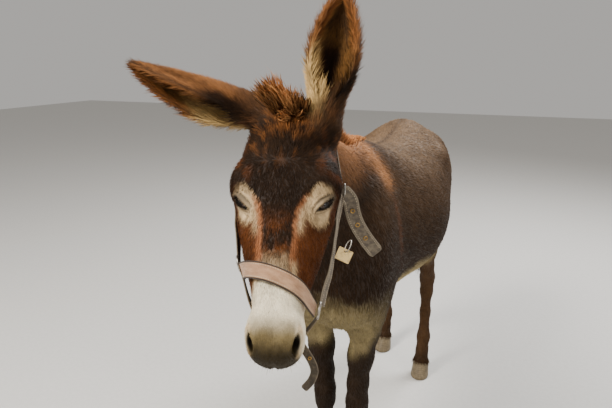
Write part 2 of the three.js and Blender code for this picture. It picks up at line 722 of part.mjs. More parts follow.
// Straps that lie on the head, by stations of (s, angle, lift).
const STRAPS = [
  {
    name: "halter_noseband",
    stations: [[296, 182, 4], [308, 150, 3], [330, 92, 3], [357, 35, 4], [366, 8, 14]],
    steps: 16,
    width: 30,
    look: "beige",
  },
  {
    name: "halter_cheek_left",
    stations: [[352, 2, 24], [300, 2, 19], [246, 0, 12], [190, -3, 4], [134, -4, 3]],
    steps: 12,
    width: 20,
    look: "grey",
  },
  {
    name: "halter_cheek_right",
    stations: [[282, 172, 6], [240, 177, 3], [190, 183, 3], [134, 184, 3]],
    steps: 9,
    width: 20,
    look: "dark",
  },
  {
    name: "halter_crown",
    stations: [
      [118, -6, 3], [70, -9, 3], [20, -6, 3], [-26, 14, 3], [-52, 50, 3], [-60, 90, 3],
      [-52, 130, 3], [-26, 166, 3], [20, 186, 3], [70, 189, 3], [118, 186, 3],
    ],
    steps: 28,
    width: 22,
    look: "dark",
  },
  {
    name: "halter_jaw_strap",
    stations: [[140, -20, 3], [152, -50, 3], [166, -90, 3], [152, -130, 3], [140, -160, 3]],
    steps: 14,
    width: 18,
    look: "dark",
  },
  {
    name: "halter_chin_strap",
    stations: [[372, -6, 20], [400, -36, 6], [400, -90, 3], [372, -140, 4], [338, -172, 6], [296, -186, 6]],
    steps: 18,
    width: 14,
    look: "dark",
  },
];
const RINGS = { left: { at: [362, 2, 22] }, right: { at: [286, 172, 8] } };
const BUCKLE = { at: { left: [126, -5, 7], right: [126, 185, 7] }, length: 24, width: 30, bar: 3 };

// The loose end of the crown strap at its left buckle, and the end of the chin strap.
const LOOSE_END = {
  name: "halter_loose_end",
  points: [
    [118, -138, -96],
    [123, -154, -111],
    [131, -170, -128],
    [149, -190, -153],
    [173, -209, -182],
  ],
  width: 30,
};
const CHIN_END = {
  name: "halter_chin_end",
  points: [
    [33, -408, -117],
    [46, -424, -124],
    [58, -441, -133],
    [62, -454, -140],
    [57, -468, -147],
    [44, -482, -153],
  ],
  width: 14,
};
const EYELETS = [0.16, 0.4, 0.66];
const TAG = { at: vec(109, -268, -58), width: 29, height: 25, thickness: 2.4, tilt: -21, hole: 2.6 };
const HOOK = { length: 22, width: 11, wire: 1 };

// A frame that stands on a place: x across it, y along it, z off it.
function standing({ point, normal }, along) {
  const across = along.clone().cross(normal).normalize();
  return new THREE.Matrix4()
    .makeBasis(across, normal.clone().cross(across), normal)
    .setPosition(point);
}

function ringMatrix(side) {
  const place = onHead(...RINGS[side].at);
  return standing(place, vec(0, 1, 0));
}

// Room for the rings, which the straps stop short of; each strap adds its own room for the next.
function ringRoom(side) {
  const radius = RING_RADIUS + RING_WIRE + 0.8;
  const disc = new THREE.CylinderGeometry(radius, radius, 60, 24);
  return solidOf(disc.rotateX(Math.PI / 2), ringMatrix(side));
}

function stationedStrap({ stations, steps, width }, rooms) {
  const line = new THREE.CatmullRomCurve3(stations.map((station) => from(station)), false, "centripetal");
  const stops = Array.from({ length: steps + 1 }, (_, i) => line.getPoint(i / steps));
  const places = stops.map((stop) => onHead(...stop.toArray()));
  const band = rooms.reduce((left, room) => left.subtract(room), solidOf(strap(places, width, WEBBING)));
  const below = places.map(({ point, normal }) => {
    return { point: point.clone().addScaledVector(normal, -1), normal };
  });
  rooms.push(solidOf(strap(below, width + 2, WEBBING + 2)));
  return largest(band);
}

function hangingStrap({ points, width }) {
  const curve = new THREE.CatmullRomCurve3(points.map((point) => from(point)));
  const places = curve.getPoints(10).map((point) => ({ point, normal: LOOSE_FACING }));
  return { curve, band: solidOf(strap(places, width, WEBBING)) };
}

// Eyelets stand on the loose end's face, each round a hole through it.
function eyeletMatrix(curve, share) {
  const point = curve.getPointAt(share);
  const along = curve.getTangentAt(share);
  const across = LOOSE_FACING.clone().cross(along).normalize();
  const rise = along.clone().cross(across);
  return new THREE.Matrix4().makeBasis(along, across, rise).setPosition(point);
}

function makeBuckle(side) {
  const { length, width, bar } = BUCKLE;
  const outline = new THREE.Shape();
  const box = (path, w, l) => {
    path.moveTo(-w / 2, -l / 2);
    path.lineTo(w / 2, -l / 2);
    path.lineTo(w / 2, l / 2);
    path.lineTo(-w / 2, l / 2);
    path.closePath();
    return path;
  };
  box(outline, width, length);
  outline.holes.push(box(new THREE.Path(), width - 2 * bar, length - 2 * bar));
  const frame = new THREE.ExtrudeGeometry(outline, { depth: bar, bevelEnabled: false });
  return geometryOf(solidOf(frame, standing(onHead(...BUCKLE.at[side]), vec(0, 1, 0))));
}

function tagFrame() {
  const right = vec(0, 1, 0).cross(LOOSE_FACING).normalize();
  const up = LOOSE_FACING.clone().cross(right);
  const upright = new THREE.Matrix4().makeBasis(right, up, LOOSE_FACING);
  const tilt = new THREE.Matrix4().makeRotationZ(radians(TAG.tilt));
  return upright.multiply(tilt).setPosition(TAG.at);
}

const tagHoleY = TAG.height / 2 - 2 * TAG.hole;
function makeTag() {
  const plate = solidOf(new THREE.BoxGeometry(TAG.width, TAG.height, TAG.thickness));
  const drill = new THREE.CylinderGeometry(TAG.hole, TAG.hole, 10, 16).rotateX(Math.PI / 2);
  const holed = plate.subtract(solidOf(drill.translate(0, tagHoleY, 0)));
  return geometryOf(holed).applyMatrix4(tagFrame());
}

function makeHook() {
  const loop = new THREE.TorusGeometry(HOOK.length / 2, HOOK.wire, 5, 14);
  loop.scale(HOOK.width / HOOK.length, 1, 1).rotateY(Math.PI / 2);
  loop.translate(0, tagHoleY + HOOK.length / 2, 0);
  return loop.applyMatrix4(tagFrame());
}

// ------------------------------------------------------------------ materials
const material = (color, roughness, metalness = 0) =>
  new THREE.MeshStandardMaterial({ color, roughness, metalness });
const COAT = material(0x2e221c, 0.9);
const FACE_COAT = material(0x4a2f22, 0.9);
const EAR_COAT = material(0x5a4030, 0.9);
const MANE_HAIR = material(0x6b3e26, 0.85);
const TAIL_HAIR = material(0x1d1714, 0.85);
const HORN = material(0x55504a, 0.6);
const EYE = material(0x0c0807, 0.1);
const BEIGE_WEBBING = material(0xa8907a, 0.9);
const GREY_LEATHER = material(0x7a766d, 0.7);
const DARK_LEATHER = material(0x3a3531, 0.6);
const STEEL = material(0xa7a49c, 0.35, 1);
const BRASS = material(0xb08d4c, 0.4, 1);
const TAG_PLASTIC = material(0xc9bd95, 0.6);

// ------------------------------------------------------------------ the donkey
const donkey = new THREE.Group();
const harness = new THREE.Group();
harness.applyMatrix4(HEAD_FRAME);
donkey.add(harness);

function place(group, name, geometry, look) {
  const mesh = new THREE.Mesh(geometry, look);
  mesh.name = name;
  group.add(mesh);
  return mesh;
}

const head = makeHead();
const neck = makeNeck();
const trunk = makeTrunk();
place(donkey, "head", geometryOf(head), FACE_COAT);
place(donkey, "neck", geometryOf(neck), COAT);
place(donkey, "trunk", geometryOf(trunk), COAT);
place(donkey, "forelock", geometryOf(makeForelock(head, neck)), MANE_HAIR);
const tail = seat(solidOf(taperedTube(TAIL, 12)), trunk, vec(0, 1, 0));
place(donkey, "tail", geometryOf(largest(tail)), TAIL_HAIR);
for (const side of ["left", "right"]) {
  const sign = side === "left" ? 1 : -1;
  place(donkey, `ear_${side}`, geometryOf(makeEar(side, head, neck)), EAR_COAT);
  const eye = place(donkey, `eye_${side}`, new THREE.IcosahedronGeometry(EYE_RADIUS, 2), EYE);
  eye.applyMatrix4(eyeMatrix(sign));
  for (const part of ["front", "hind"]) {
    const name = `${part}_${side}`;
    place(donkey, `leg_${name}`, geometryOf(makeLeg(name)), COAT);
    place(donkey, `hoof_${name}`, geometryOf(makeHoof(name)), HORN);
  }
}

const STRAP_LOOKS = { beige: BEIGE_WEBBING, grey: GREY_LEATHER, dark: DARK_LEATHER };
const rooms = [ringRoom("left"), ringRoom("right")];
for (const run of STRAPS) {
  place(harness, run.name, geometryOf(stationedStrap(run, rooms)), STRAP_LOOKS[run.look]);
}
for (const side of ["left", "right"]) {
  const torus = new THREE.TorusGeometry(RING_RADIUS, RING_WIRE, 5, 14);
  place(harness, `halter_ring_${side}`, torus, STEEL).applyMatrix4(ringMatrix(side));
  place(harness, `halter_buckle_${side}`, makeBuckle(side), STEEL);
}
const looseEnd = hangingStrap(LOOSE_END);
const clear = (band) => largest(rooms.reduce((left, room) => left.subtract(room), band));
let looseBand = clear(looseEnd.band);
EYELETS.forEach((share, i) => {
  const matrix = eyeletMatrix(looseEnd.curve, share);
  const drill = new THREE.CylinderGeometry(2.4, 2.4, 20, 12).rotateX(Math.PI / 2);
  looseBand = looseBand.subtract(solidOf(drill, matrix));
  const eyelet = new THREE.TorusGeometry(3.8, 1, 5, 10).translate(0, 0, WEBBING + 1.5);
  place(harness, `halter_eyelet_${i + 1}`, eyelet.applyMatrix4(matrix), BRASS);
});
place(harness, LOOSE_END.name, geometryOf(largest(looseBand)), GREY_LEATHER);
place(harness, CHIN_END.name, geometryOf(clear(hangingStrap(CHIN_END).band)), DARK_LEATHER);
place(harness, "tag", makeTag(), TAG_PLASTIC);
place(harness, "tag_hook", makeHook(), STEEL);
const mane = [neck, head, trunk].reduce((left, flesh) => seat(left, flesh, neckUp), makeManeSolid());
const parted = rooms.reduce((left, room) => left.subtract(room.transform(HEAD_FRAME.elements)), mane);
place(donkey, "mane", geometryOf(largest(parted)), MANE_HAIR);

// The middle of the box stands over the origin.
const middle = new THREE.Box3().setFromObject(donkey, true).getCenter(vec(0, 0, 0));
donkey.position.set(-middle.x, -middle.y, 0);

export default donkey;
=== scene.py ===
"""A life-size donkey in a halter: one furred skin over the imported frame, with eyes, hooves, hair and straps.

The body is a signed distance in millimetres, in its own frame: it faces -Y, +X is its left, and the floor is
at z = 0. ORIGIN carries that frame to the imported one. The head has a frame of its own, with x to its left,
y back and z out of the forehead.
"""
import math

import bmesh
import bpy
import numpy as np
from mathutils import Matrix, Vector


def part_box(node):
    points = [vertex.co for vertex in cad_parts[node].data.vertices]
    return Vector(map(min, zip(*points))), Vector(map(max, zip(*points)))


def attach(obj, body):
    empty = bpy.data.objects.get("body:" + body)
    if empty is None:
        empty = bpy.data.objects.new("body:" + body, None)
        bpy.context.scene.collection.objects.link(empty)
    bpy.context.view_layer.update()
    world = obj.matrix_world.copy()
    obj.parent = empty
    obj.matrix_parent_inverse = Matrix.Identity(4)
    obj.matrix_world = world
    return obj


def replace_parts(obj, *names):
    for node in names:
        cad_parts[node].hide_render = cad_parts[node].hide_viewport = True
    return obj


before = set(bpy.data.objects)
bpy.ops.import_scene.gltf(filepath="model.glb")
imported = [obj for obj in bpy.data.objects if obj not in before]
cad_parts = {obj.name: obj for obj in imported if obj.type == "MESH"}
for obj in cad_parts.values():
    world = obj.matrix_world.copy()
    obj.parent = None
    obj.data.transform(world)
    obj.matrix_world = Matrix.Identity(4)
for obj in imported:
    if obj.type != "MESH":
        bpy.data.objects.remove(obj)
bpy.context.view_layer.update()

F = np.float32
FAR = 1000.0  # the distance given to a part that is too far off to matter
CHUNK = 400000  # how many points a field is asked for at a time
DARKEST, PALEST = 0.002, 0.95  # the limits of a hair's colour


# ---------------- small mathematics
def vec(*numbers):
    return np.array(numbers, F)


def unit(v):
    v = np.asarray(v, float)
    return v / np.maximum(np.linalg.norm(v, axis=-1, keepdims=True), 1e-9)


def square_to(axis, v):
    """The unit vector nearest to v that is square to the unit vector axis."""
    v = np.array(v)
    return unit(v - axis * (v @ axis))


def rows_of(value, count):
    return np.tile(value, (count, 1))


def length(q):
    return np.sqrt(np.einsum("ij,ij->i", q, q))


def smooth_min(a, b, blend):
    near = np.maximum(blend - np.abs(a - b), 0) / blend
    return np.minimum(a, b) - near * near * blend * 0.25


def smooth_max(a, b, blend):
    return -smooth_min(-a, -b, blend)


def ramp(low, high, x):
    """0 at low, 1 at high and smooth between them; low may be above high."""
    t = np.clip((x - low) / (high - low), 0, 1)
    return t * t * (3 - 2 * t)


def curve(s, places, values):
    """Smooth curve through (places, values), level past its ends."""
    xs, ys = np.array(places, F), np.array(values, F)
    slope = np.gradient(ys, xs)
    i = np.clip(np.searchsorted(xs, s) - 1, 0, len(xs) - 2)
    h = xs[i + 1] - xs[i]
    t = np.clip((s - xs[i]) / h, 0, 1)
    t2, t3 = t * t, t * t * t
    value = (2 * t3 - 3 * t2 + 1) * ys[i] + (3 * t2 - 2 * t3) * ys[i + 1]
    return value + (t3 - 2 * t2 + t) * h * slope[i] + (t3 - t2) * h * slope[i + 1]


def rotation(axis, degrees):
    c, s = math.cos(math.radians(degrees)), math.sin(math.radians(degrees))
    i, j = {"x": (1, 2), "z": (0, 1)}[axis]
    matrix = np.eye(3)
    matrix[i, i], matrix[i, j], matrix[j, i], matrix[j, j] = c, -s, s, c
    return matrix


def lattice(cell, seed):
    """A repeatable number from -1 to 1 for each whole-numbered cell."""
    h = cell.astype(np.int64) @ np.array([374761393, 668265263, 2147483647]) + seed * 144665
    h = (h ^ (h >> 13)) * 1274126177
    return ((h ^ (h >> 16)) & 65535) / 32767.5 - 1


def noise(p, size, seed=0):
    """Smooth value noise from -1 to 1, with lumps about size across."""
    q = np.asarray(p, float) / size
    cell = np.floor(q)
    t = q - cell
    t = t * t * (3 - 2 * t)
    total = 0
    for corner in np.ndindex(2, 2, 2):
        weight = np.prod(np.where(np.array(corner), t, 1 - t), axis=1)
        total = total + weight * lattice(cell + corner, seed)
    return total


# ---------------- driving dimensions, as in the solids
MIDLINE_X = -4
POLL = vec(5, -730, 1222)
HEAD = (rotation("z", 17) @ rotation("x", 47)).astype(F)
EYE_CENTRE = vec(65, -187, -19)
EYE_RADIUS = 18.6
LID_RADIUS = 20.6
EAR_LENGTH = 280
EAR_BACK = 30
EAR_HALF = 2.6  # half the thickness of an ear's skin

# Sections: place along the part, half width, top, bottom, taper (wider below where negative).
TRUNK = [
    (-500, 80, 900, 660, 0),
    (-430, 102, 985, 615, 0),
    (-340, 108, 1075, 588, -0.06),
    (-260, 130, 1096, 592, -0.08),
    (-130, 174, 1078, 608, -0.1),
    (20, 216, 1062, 604, -0.14),
    (150, 218, 1070, 612, -0.12),
    (280, 196, 1096, 638, -0.14),
    (380, 166, 1098, 678, -0.16),
    (470, 138, 1054, 704, -0.1),
    (570, 80, 950, 770, 0),
]
# Muscles on both sides of the trunk: centre, radii, blend.
MUSCLES = [
    ((78, -360, 810), (48, 100, 190), 60),  # shoulder blade
    ((66, -440, 735), (55, 58, 80), 50),  # point of the shoulder
    ((40, -480, 790), (50, 40, 110), 60),  # breast
    ((98, 400, 868), (80, 155, 165), 70),  # haunch
    ((105, 350, 720), (68, 115, 130), 60),  # thigh
    ((75, 520, 850), (70, 62, 125), 60),  # buttock
    ((128, 285, 962), (45, 55, 45), 60),  # point of the hip
]
NECK_BASE, NECK_TOP = vec(-5, -300, 900), vec(0, -690, 1130)
NECK = [
    (-140, 105, 190, -270, -0.1),
    (0, 100, 178, -245, -0.15),
    (120, 84, 155, -192, -0.15),
    (240, 72, 128, -148, -0.12),
    (360, 64, 106, -114, -0.1),
    (450, 60, 92, -98, -0.05),
    (530, 50, 70, -80, 0),
]
SKULL = [
    (-20, 62, -26, -125, 0),
    (25, 74, 2, -160, 0.08),
    (75, 86, 16, -188, 0.2),
    (130, 92, 20, -198, 0.3),
    (180, 86, 15, -186, 0.34),
    (235, 77, 6, -160, 0.2),
    (292, 65, -2, -137, 0.08),
    (345, 50, -8, -120, 0.02),
    (400, 42, -14, -110, 0),
    (452, 36, -38, -100, 0),
]
# The face's forms on both sides, in the head's frame: centre, radii, blend.
FEATURES = [
    ((68, -150, -20), (32, 42, 30), 30),  # brow over the eye
    ((48, -140, -112), (34, 75, 68), 35),  # cheek
    ((27, -416, -46), (23, 33, 33), 20),  # nostril wing
    ((0, -440, -66), (36, 25, 33), 25),  # upper lip
    ((0, -408, -104), (27, 33, 19), 20),  # chin
]
FACIAL_CREST = ((66, -205, -55), (46, -285, -60), (15, 15), (8, 9))
TEMPLE_HOLLOW = ((108, -222, 8), (34, 46, 32), 26)

# Legs from the top down: centre, (half width, half depth).
LEGS = {
    "front_left": [
        ((72, -335, 690), (46, 78)),
        ((62, -338, 600), (42, 64)),
        ((50, -338, 500), (36, 46)),
        ((43, -336, 410), (30, 35)),
        ((42, -338, 350), (31, 34)),
        ((42, -336, 312), (29, 31)),
        ((43, -330, 240), (20, 26)),
        ((45, -330, 150), (24, 29)),
        ((46, -346, 100), (22, 25)),
        ((47, -360, 62), (31, 34)),
    ],
    "front_right": [
        ((-94, -325, 690), (46, 78)),
        ((-86, -326, 600), (42, 64)),
        ((-75, -320, 500), (36, 46)),
        ((-70, -312, 410), (29, 35)),
        ((-67, -310, 350), (30, 34)),
        ((-67, -306, 312), (28, 31)),
        ((-69, -298, 240), (20, 26)),
        ((-71, -295, 150), (24, 29)),
        ((-72, -311, 100), (22, 25)),
        ((-73, -326, 62), (31, 34)),
    ],
    "hind_left": [
        ((112, 335, 720), (56, 96)),
        ((106, 400, 590), (38, 60)),
        ((100, 460, 490), (27, 40)),
        ((98, 500, 425), (29, 41)),
        ((98, 500, 365), (25, 32)),
        ((99, 492, 270), (20, 26)),
        ((100, 478, 160), (24, 30)),
        ((100, 462, 108), (22, 25)),
        ((100, 448, 62), (31, 35)),
    ],
    "hind_right": [
        ((-112, 400, 720), (56, 96)),
        ((-108, 490, 590), (38, 60)),
        ((-104, 580, 490), (27, 40)),
        ((-102, 626, 425), (29, 41)),
        ((-102, 632, 365), (25, 32)),
        ((-102, 638, 270), (20, 26)),
        ((-102, 640, 160), (24, 30)),
        ((-102, 626, 108), (22, 25)),
        ((-102, 612, 62), (31, 35)),
    ],
}
HOCK_POINTS = {"hind_left": (98, 526, 455), "hind_right": (-102, 664, 458)}
HOCK_RADIUS = 16
HOOF_HEIGHT = 60
CORONET_SLOPE = 0.27
EARS = {
    "left": {"root": (64, -2, -14), "line": (-0.02, 0.46, 0.88), "opening": (0.31, -0.84, 0.45)},
    "right": {"root": (-61, 10, -16), "line": (-0.94, -0.23, 0.25), "opening": (-0.03, -0.69, -0.73)},
}
# Place along the ear, half the angle its cup goes round, radius of the cup.
EAR = [
    (0, 168, 28),
    (35, 140, 33),
    (75, 112, 41),
    (120, 101, 45),
    (165, 93, 42),
    (205, 86, 34),
    (242, 78, 23),
    (266, 72, 12),
    (280, 68, 4),
]


def to_head(p):
    return (p - POLL) @ HEAD


def from_head(q):
    return np.atleast_2d(np.asarray(q, F)) @ HEAD.T + POLL


def middle_of(node):
    low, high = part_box(node)
    return (np.array(low) + np.array(high)) / 2 * 1000


ORIGIN = middle_of("eye_left") - from_head(EYE_CENTRE)[0]
ORIGIN[2] = 0


# ---------------- the body as a signed distance
def ellipsoid(p, centre, radii):
    q = p - vec(*centre)
    r = vec(*radii)
    near = length(q / r)
    slope = length(q / (r * r))
    return np.where(near < 0.01, -min(radii), near * (near - 1) / (slope + 1e-9))


def limb(p, start, end, start_size, end_size):
    """A tapered length of leg: each size is (half width across x, half depth)."""
    a, b = vec(*start), vec(*end)
    t = np.clip(((p - a) @ (b - a)) / ((b - a) @ (b - a)), 0, 1)
    q = p - (a + t[:, None] * (b - a))
    rx = start_size[0] + (end_size[0] - start_size[0]) * t
    ry = start_size[1] + (end_size[1] - start_size[1]) * t
    across, deep = q[:, 0] ** 2, q[:, 1] ** 2 + q[:, 2] ** 2
    near = np.sqrt(across / rx**2 + deep / ry**2)
    slope = np.sqrt(across / rx**4 + deep / ry**4)
    return np.where(near < 0.01, -np.minimum(rx, ry), near * (near - 1) / (slope + 1e-9))


def loft(s, x, z, table, power, end_blend):
    """A body through rounded sections at places s along it."""
    places, *columns = zip(*table)
    wide, top, low, taper = (curve(s, places, column) for column in columns)
    half = (top - low) / 2
    v = (z - (top + low) / 2) / half
    w = wide * (1 + taper * np.clip(v, -1, 1))
    ax, av = np.abs(x) / w + 1e-6, np.abs(v) + 1e-6
    near = (ax**power + av**power) ** (1 / power)
    slope = near ** (1 - power) * np.sqrt((ax ** (power - 1) / w) ** 2 + (av ** (power - 1) / half) ** 2)
    d = (near - 1) / np.maximum(slope, 1 / (4 * wide))
    ends = np.abs(s - (places[0] + places[-1]) / 2) - (places[-1] - places[0]) / 2
    return smooth_max(d, ends, end_blend)


def mirrored(p, middle=0.0):
    return np.column_stack([np.abs(p[:, 0] - middle), p[:, 1], p[:, 2]])


def trunk_distance(p):
    x, y, z = p.T
    d = loft(y, x - MIDLINE_X, z, TRUNK, 2.05, 120)
    m = mirrored(p, MIDLINE_X)
    for centre, radii, blend in MUSCLES:
        d = smooth_min(d, ellipsoid(m, centre, radii), blend)
    return d


NECK_LINE = unit(NECK_TOP - NECK_BASE)
NECK_ACROSS = unit(np.cross([0, 0, 1], NECK_LINE))
NECK_UP = unit(np.cross(NECK_LINE, NECK_ACROSS))


def to_neck(p):
    return (p - NECK_BASE) @ np.column_stack([NECK_ACROSS, NECK_LINE, NECK_UP]).astype(F)


def neck_distance(p):
    across, along, up = to_neck(p).T
    return loft(along, across, up, NECK, 2.1, 60)


def skull_distance(p):
    q = to_head(p)
    d = loft(-q[:, 1], q[:, 0], q[:, 2], SKULL, 2.4, 45)
    m = mirrored(q)
    for centre, radii, blend in FEATURES:
        d = smooth_min(d, ellipsoid(m, centre, radii), blend)
    d = smooth_min(d, limb(m, *FACIAL_CREST), 25)
    centre, radii, blend = TEMPLE_HOLLOW
    return smooth_max(d, -ellipsoid(m, centre, radii), blend)


def leg_distance(name):
    chain = LEGS[name]
    (x, y, z), (rx, ry) = chain[-1]

    def distance(p):
        d = np.full(len(p), FAR, F)
        for (a, size_a), (b, size_b) in zip(chain, chain[1:]):
            d = smooth_min(d, limb(p, a, b, size_a, size_b), 20)
        if name in HOCK_POINTS:
            r = HOCK_RADIUS
            d = smooth_min(d, ellipsoid(p, HOCK_POINTS[name], (r * 0.9, r, r * 1.5)), 24)
        hoof = limb(p, (x, y, z - 6), (x, y - 18, 4), (rx + 1, ry + 1), (rx + 6, ry + 10))
        return smooth_min(d, hoof, 6)

    return distance


def ear_axes(side):
    """Columns: across the cup, out of the cup, and along the ear."""
    along = unit(EARS[side]["line"])
    out = square_to(along, EARS[side]["opening"])
    return np.column_stack([np.cross(out, along), out, along]).astype(F)


EAR_AXES = {side: ear_axes(side) for side in EARS}
EAR_ROOTS = {side: from_head(EARS[side]["root"])[0] for side in EARS}


def to_ear(p, side):
    """Place along the ear, angle round its cup from the back, distance from its axis, radius, half angle."""
    across, out, along = ((p - EAR_ROOTS[side]) @ EAR_AXES[side]).T
    places, halves, radii = zip(*EAR)
    half, radius = np.radians(curve(along, places, halves)), curve(along, places, radii)
    out = out - (radius - EAR_BACK)
    return along, np.arctan2(across, -out), np.hypot(across, out), radius, half


def ear_distance(side, half_thickness):
    def distance(p):
        along, angle, away, radius, half = to_ear(p, side)
        turn = np.maximum(np.abs(angle) - half, 0)
        edge = np.sqrt(np.maximum(away**2 + radius**2 - 2 * away * radius * np.cos(turn), 0))
        wall = np.where(turn > 0, edge, np.abs(away - radius)) - np.minimum(half_thickness, radius * 0.6)
        return smooth_max(smooth_max(wall, along - EAR_LENGTH, 4), -along - 30, 6)

    return distance


def ear_root_distance(side):
    root, along = EAR_ROOTS[side], EAR_AXES[side][:, 2]
    return lambda p: limb(p, root - along * 25, root + along * 28, (36, 36), (31, 31))


def boxed(points, margin):
    points = np.array(points, float)
    return points.min(0) - margin, points.max(0) + margin


def body_parts(ear_half):
    """Each part's name, distance, the box it matters in, and its blend with those before it."""
    yield "trunk", trunk_distance, ((-330, -590, 450), (330, 670, 1180)), 1
    yield "neck", neck_distance, ((-200, -910, 610), (200, -90, 1330)), 90
    for name, chain in LEGS.items():
        low, high = boxed([centre for centre, _ in chain], 140)
        yield "leg_" + name, leg_distance(name), ((low[0], low[1], -50), (high[0], high[1], 830)), 40
    yield "head", skull_distance, ((-190, -1160, 750), (290, -550, 1320)), 45
    for side in EARS:
        root, along = EAR_ROOTS[side], EAR_AXES[side][:, 2]
        box = boxed([root, root + along * EAR_LENGTH], 100)
        yield "ear_root_" + side, ear_root_distance(side), box, 30
        yield "ear_" + side, ear_distance(side, ear_half), box, 8


class Body:
    """The whole body's signed distance, with ears of the given half thickness."""

    def __init__(self, ear_half):
        self.parts = list(body_parts(ear_half))
        self.names = [name for name, *_ in self.parts]

    def columns(self, p):
        table = np.full((len(p), len(self.parts)), FAR, F)
        for i, (_, distance, (low, high), _) in enumerate(self.parts):
            near = np.all((p > np.array(low, F)) & (p < np.array(high, F)), axis=1)
            if near.any():
                table[near, i] = distance(p[near])
        return table

    def join(self, table):
        d = table[:, 0]
        for i in range(1, len(self.parts)):
            d = smooth_min(d, table[:, i], self.parts[i][3])
        return d


OUTLINE = Body(5.0)  # out to the tips of the coat
NAMES = OUTLINE.names
HEAD_COLUMN = NAMES.index("head")
NECK_COLUMN = NAMES.index("neck")
LEG_COLUMNS = {name: NAMES.index("leg_" + name) for name in LEGS}
EAR_COLUMNS = {side: NAMES.index("ear_" + side) for side in EARS}


def outline(p):
    p = np.asarray(p, F)
    return OUTLINE.join(OUTLINE.columns(p))


# ---------------- the skin, within the outline
EYE_OUT = unit([0.66, -0.42, 0.62])
EYE_ALONG = square_to(EYE_OUT, [0.75, 0.65, -0.07])
EYE_UP = np.cross(EYE_OUT, EYE_ALONG)
EYE_AXES = np.column_stack([EYE_ALONG, EYE_UP, EYE_OUT]).astype(F)
LID_LENGTH = 18.5  # half the slit, from its middle to a corner
NOSTRIL = {"centre": (38, -436, -29), "radii": (6.2, 19, 17)}
NOSTRIL_LINE = unit([-0.22, -0.78, -0.58])  # down along the nostril
NOSTRIL_OUT = unit([0.62, -0.5, 0.5])
NOSTRIL_AXES = np.column_stack(
    [np.cross(NOSTRIL_LINE, NOSTRIL_OUT), NOSTRIL_LINE, square_to(NOSTRIL_LINE, NOSTRIL_OUT)]
).astype(F)
MOUTH_HEIGHT = -84


def to_eye(m):
    """Along the slit toward the ear, up toward the brow, and out of the eye, for m mirrored in the head."""
    return (m - EYE_CENTRE) @ EYE_AXES


def to_nostril(m):
    """Across the nostril, down along it, and out of it."""
    return (m - vec(*NOSTRIL["centre"])) @ NOSTRIL_AXES


def nostril_distance(n):
    return ellipsoid(n, (0, 0, -2), NOSTRIL["radii"])


def lip_height(x, y, z):
    """Height over the line where the lips meet."""
    return z - MOUTH_HEIGHT + 0.13 * (y + 440) - 0.004 * x * x


def lid_edges(x):
    arch = 1 - (x / LID_LENGTH) ** 2
    return 3.5 * arch + 0.6, -3.5 * arch + 0.6


def bump(x, width):
    return np.exp(-((x / width) ** 2))


def carve_face(d, p):
    """Lids, folds, nostrils and mouth, for points near the head."""
    m = mirrored(to_head(p))
    e = to_eye(m)
    across, up, out = e.T
    upper, lower = lid_edges(across)
    lids = length(e) - LID_RADIUS
    d = smooth_min(d, np.maximum(lids, 2 - out), 8)
    beside = bump(across, 26) * ramp(0, 8, out)
    d = d - 1.3 * bump(up - upper - 3.4, 3.0) * beside
    d = d + 2.0 * bump(up - upper - 9.0, 2.6) * beside
    d = d + 1.1 * bump(up - upper - 17.0, 2.8) * beside
    d = d - 0.9 * bump(up - lower + 3.0, 2.4) * beside
    d = d + 1.3 * bump(up - lower + 7.5, 2.4) * beside
    d = d + 0.9 * bump(up - lower + 13.5, 2.6) * beside
    slit = np.maximum(up - upper, lower - up)
    d = smooth_max(d, -np.maximum(slit, 4 - out), 1.6)
    tear = np.hypot((across + LID_LENGTH + 3) / 5, (up + 1.5) / 2)
    d = d + 1.2 * np.exp(-(tear**2)) * ramp(0, 6, out)
    n = to_nostril(m)
    n[:, 0] += 3.5 * (n[:, 1] / 19) ** 2 - 1.5
    rim = nostril_distance(n)
    d = d - 2.2 * bump(rim - 3.5, 3.2) * ramp(30, 10, rim)
    d = smooth_max(d, -rim, 4)
    x, y, z = m.T
    lips = lip_height(x, y, z)
    d = d + 3.2 * bump(lips, 2.6) * ramp(-372, -392, y)
    d = d - 1.5 * bump(lips - 7, 6) * ramp(-385, -415, y)
    d = d + 1.6 * bump(x, 3.5) * ramp(-440, -452, y) * ramp(-45, -60, z)
    return d


# How deep the coat is over each part, in millimetres.
COAT_DEPTH = {"trunk": 5.0, "neck": 5.5, "leg": 3.0, "head": 3.2, "ear_root": 3.0, "ear": 0.0}


def part_kind(name):
    for kind in ("ear_root", "ear", "leg"):
        if name.startswith(kind + "_"):
            return kind
    return name


DEPTHS = np.array([COAT_DEPTH[part_kind(name)] for name in NAMES], F)


def weights(table, softness=18.0):
    """How far each point belongs to each part."""
    near = table - table.min(1, keepdims=True)
    w = np.exp(-near / softness)
    return w / w.sum(1, keepdims=True)


def above_coronet(name, p):
    """Height over the sloping line where the leg's skin meets the hoof."""
    y = LEGS[name][-1][0][1]
    return p[:, 2] - HOOF_HEIGHT + CORONET_SLOPE * (p[:, 1] - y)


class Skin:
    """The skin's signed distance. thicker widens the ears, which a coarse net would otherwise miss."""

    def __init__(self, thicker=0.0):
        self.body = Body(EAR_HALF + thicker)

    def __call__(self, p):
        p = np.asarray(p, F)
        table = self.body.columns(p)
        for name, column in LEG_COLUMNS.items():
            table[:, column] = np.maximum(table[:, column], -above_coronet(name, p) - 5)
        d = self.body.join(table)
        face = ramp(330, 400, -to_head(p)[:, 1]) * ramp(30, 0, table[:, HEAD_COLUMN])
        depth = weights(table) @ DEPTHS * (1 - 0.6 * face) * (0.35 + 0.65 * ramp(60, 420, p[:, 2]))
        d = d + depth
        near = (table[:, HEAD_COLUMN] < 40) & (np.abs(d) < 60)
        if near.any():
            d[near] = carve_face(d[near], p[near])
        return d


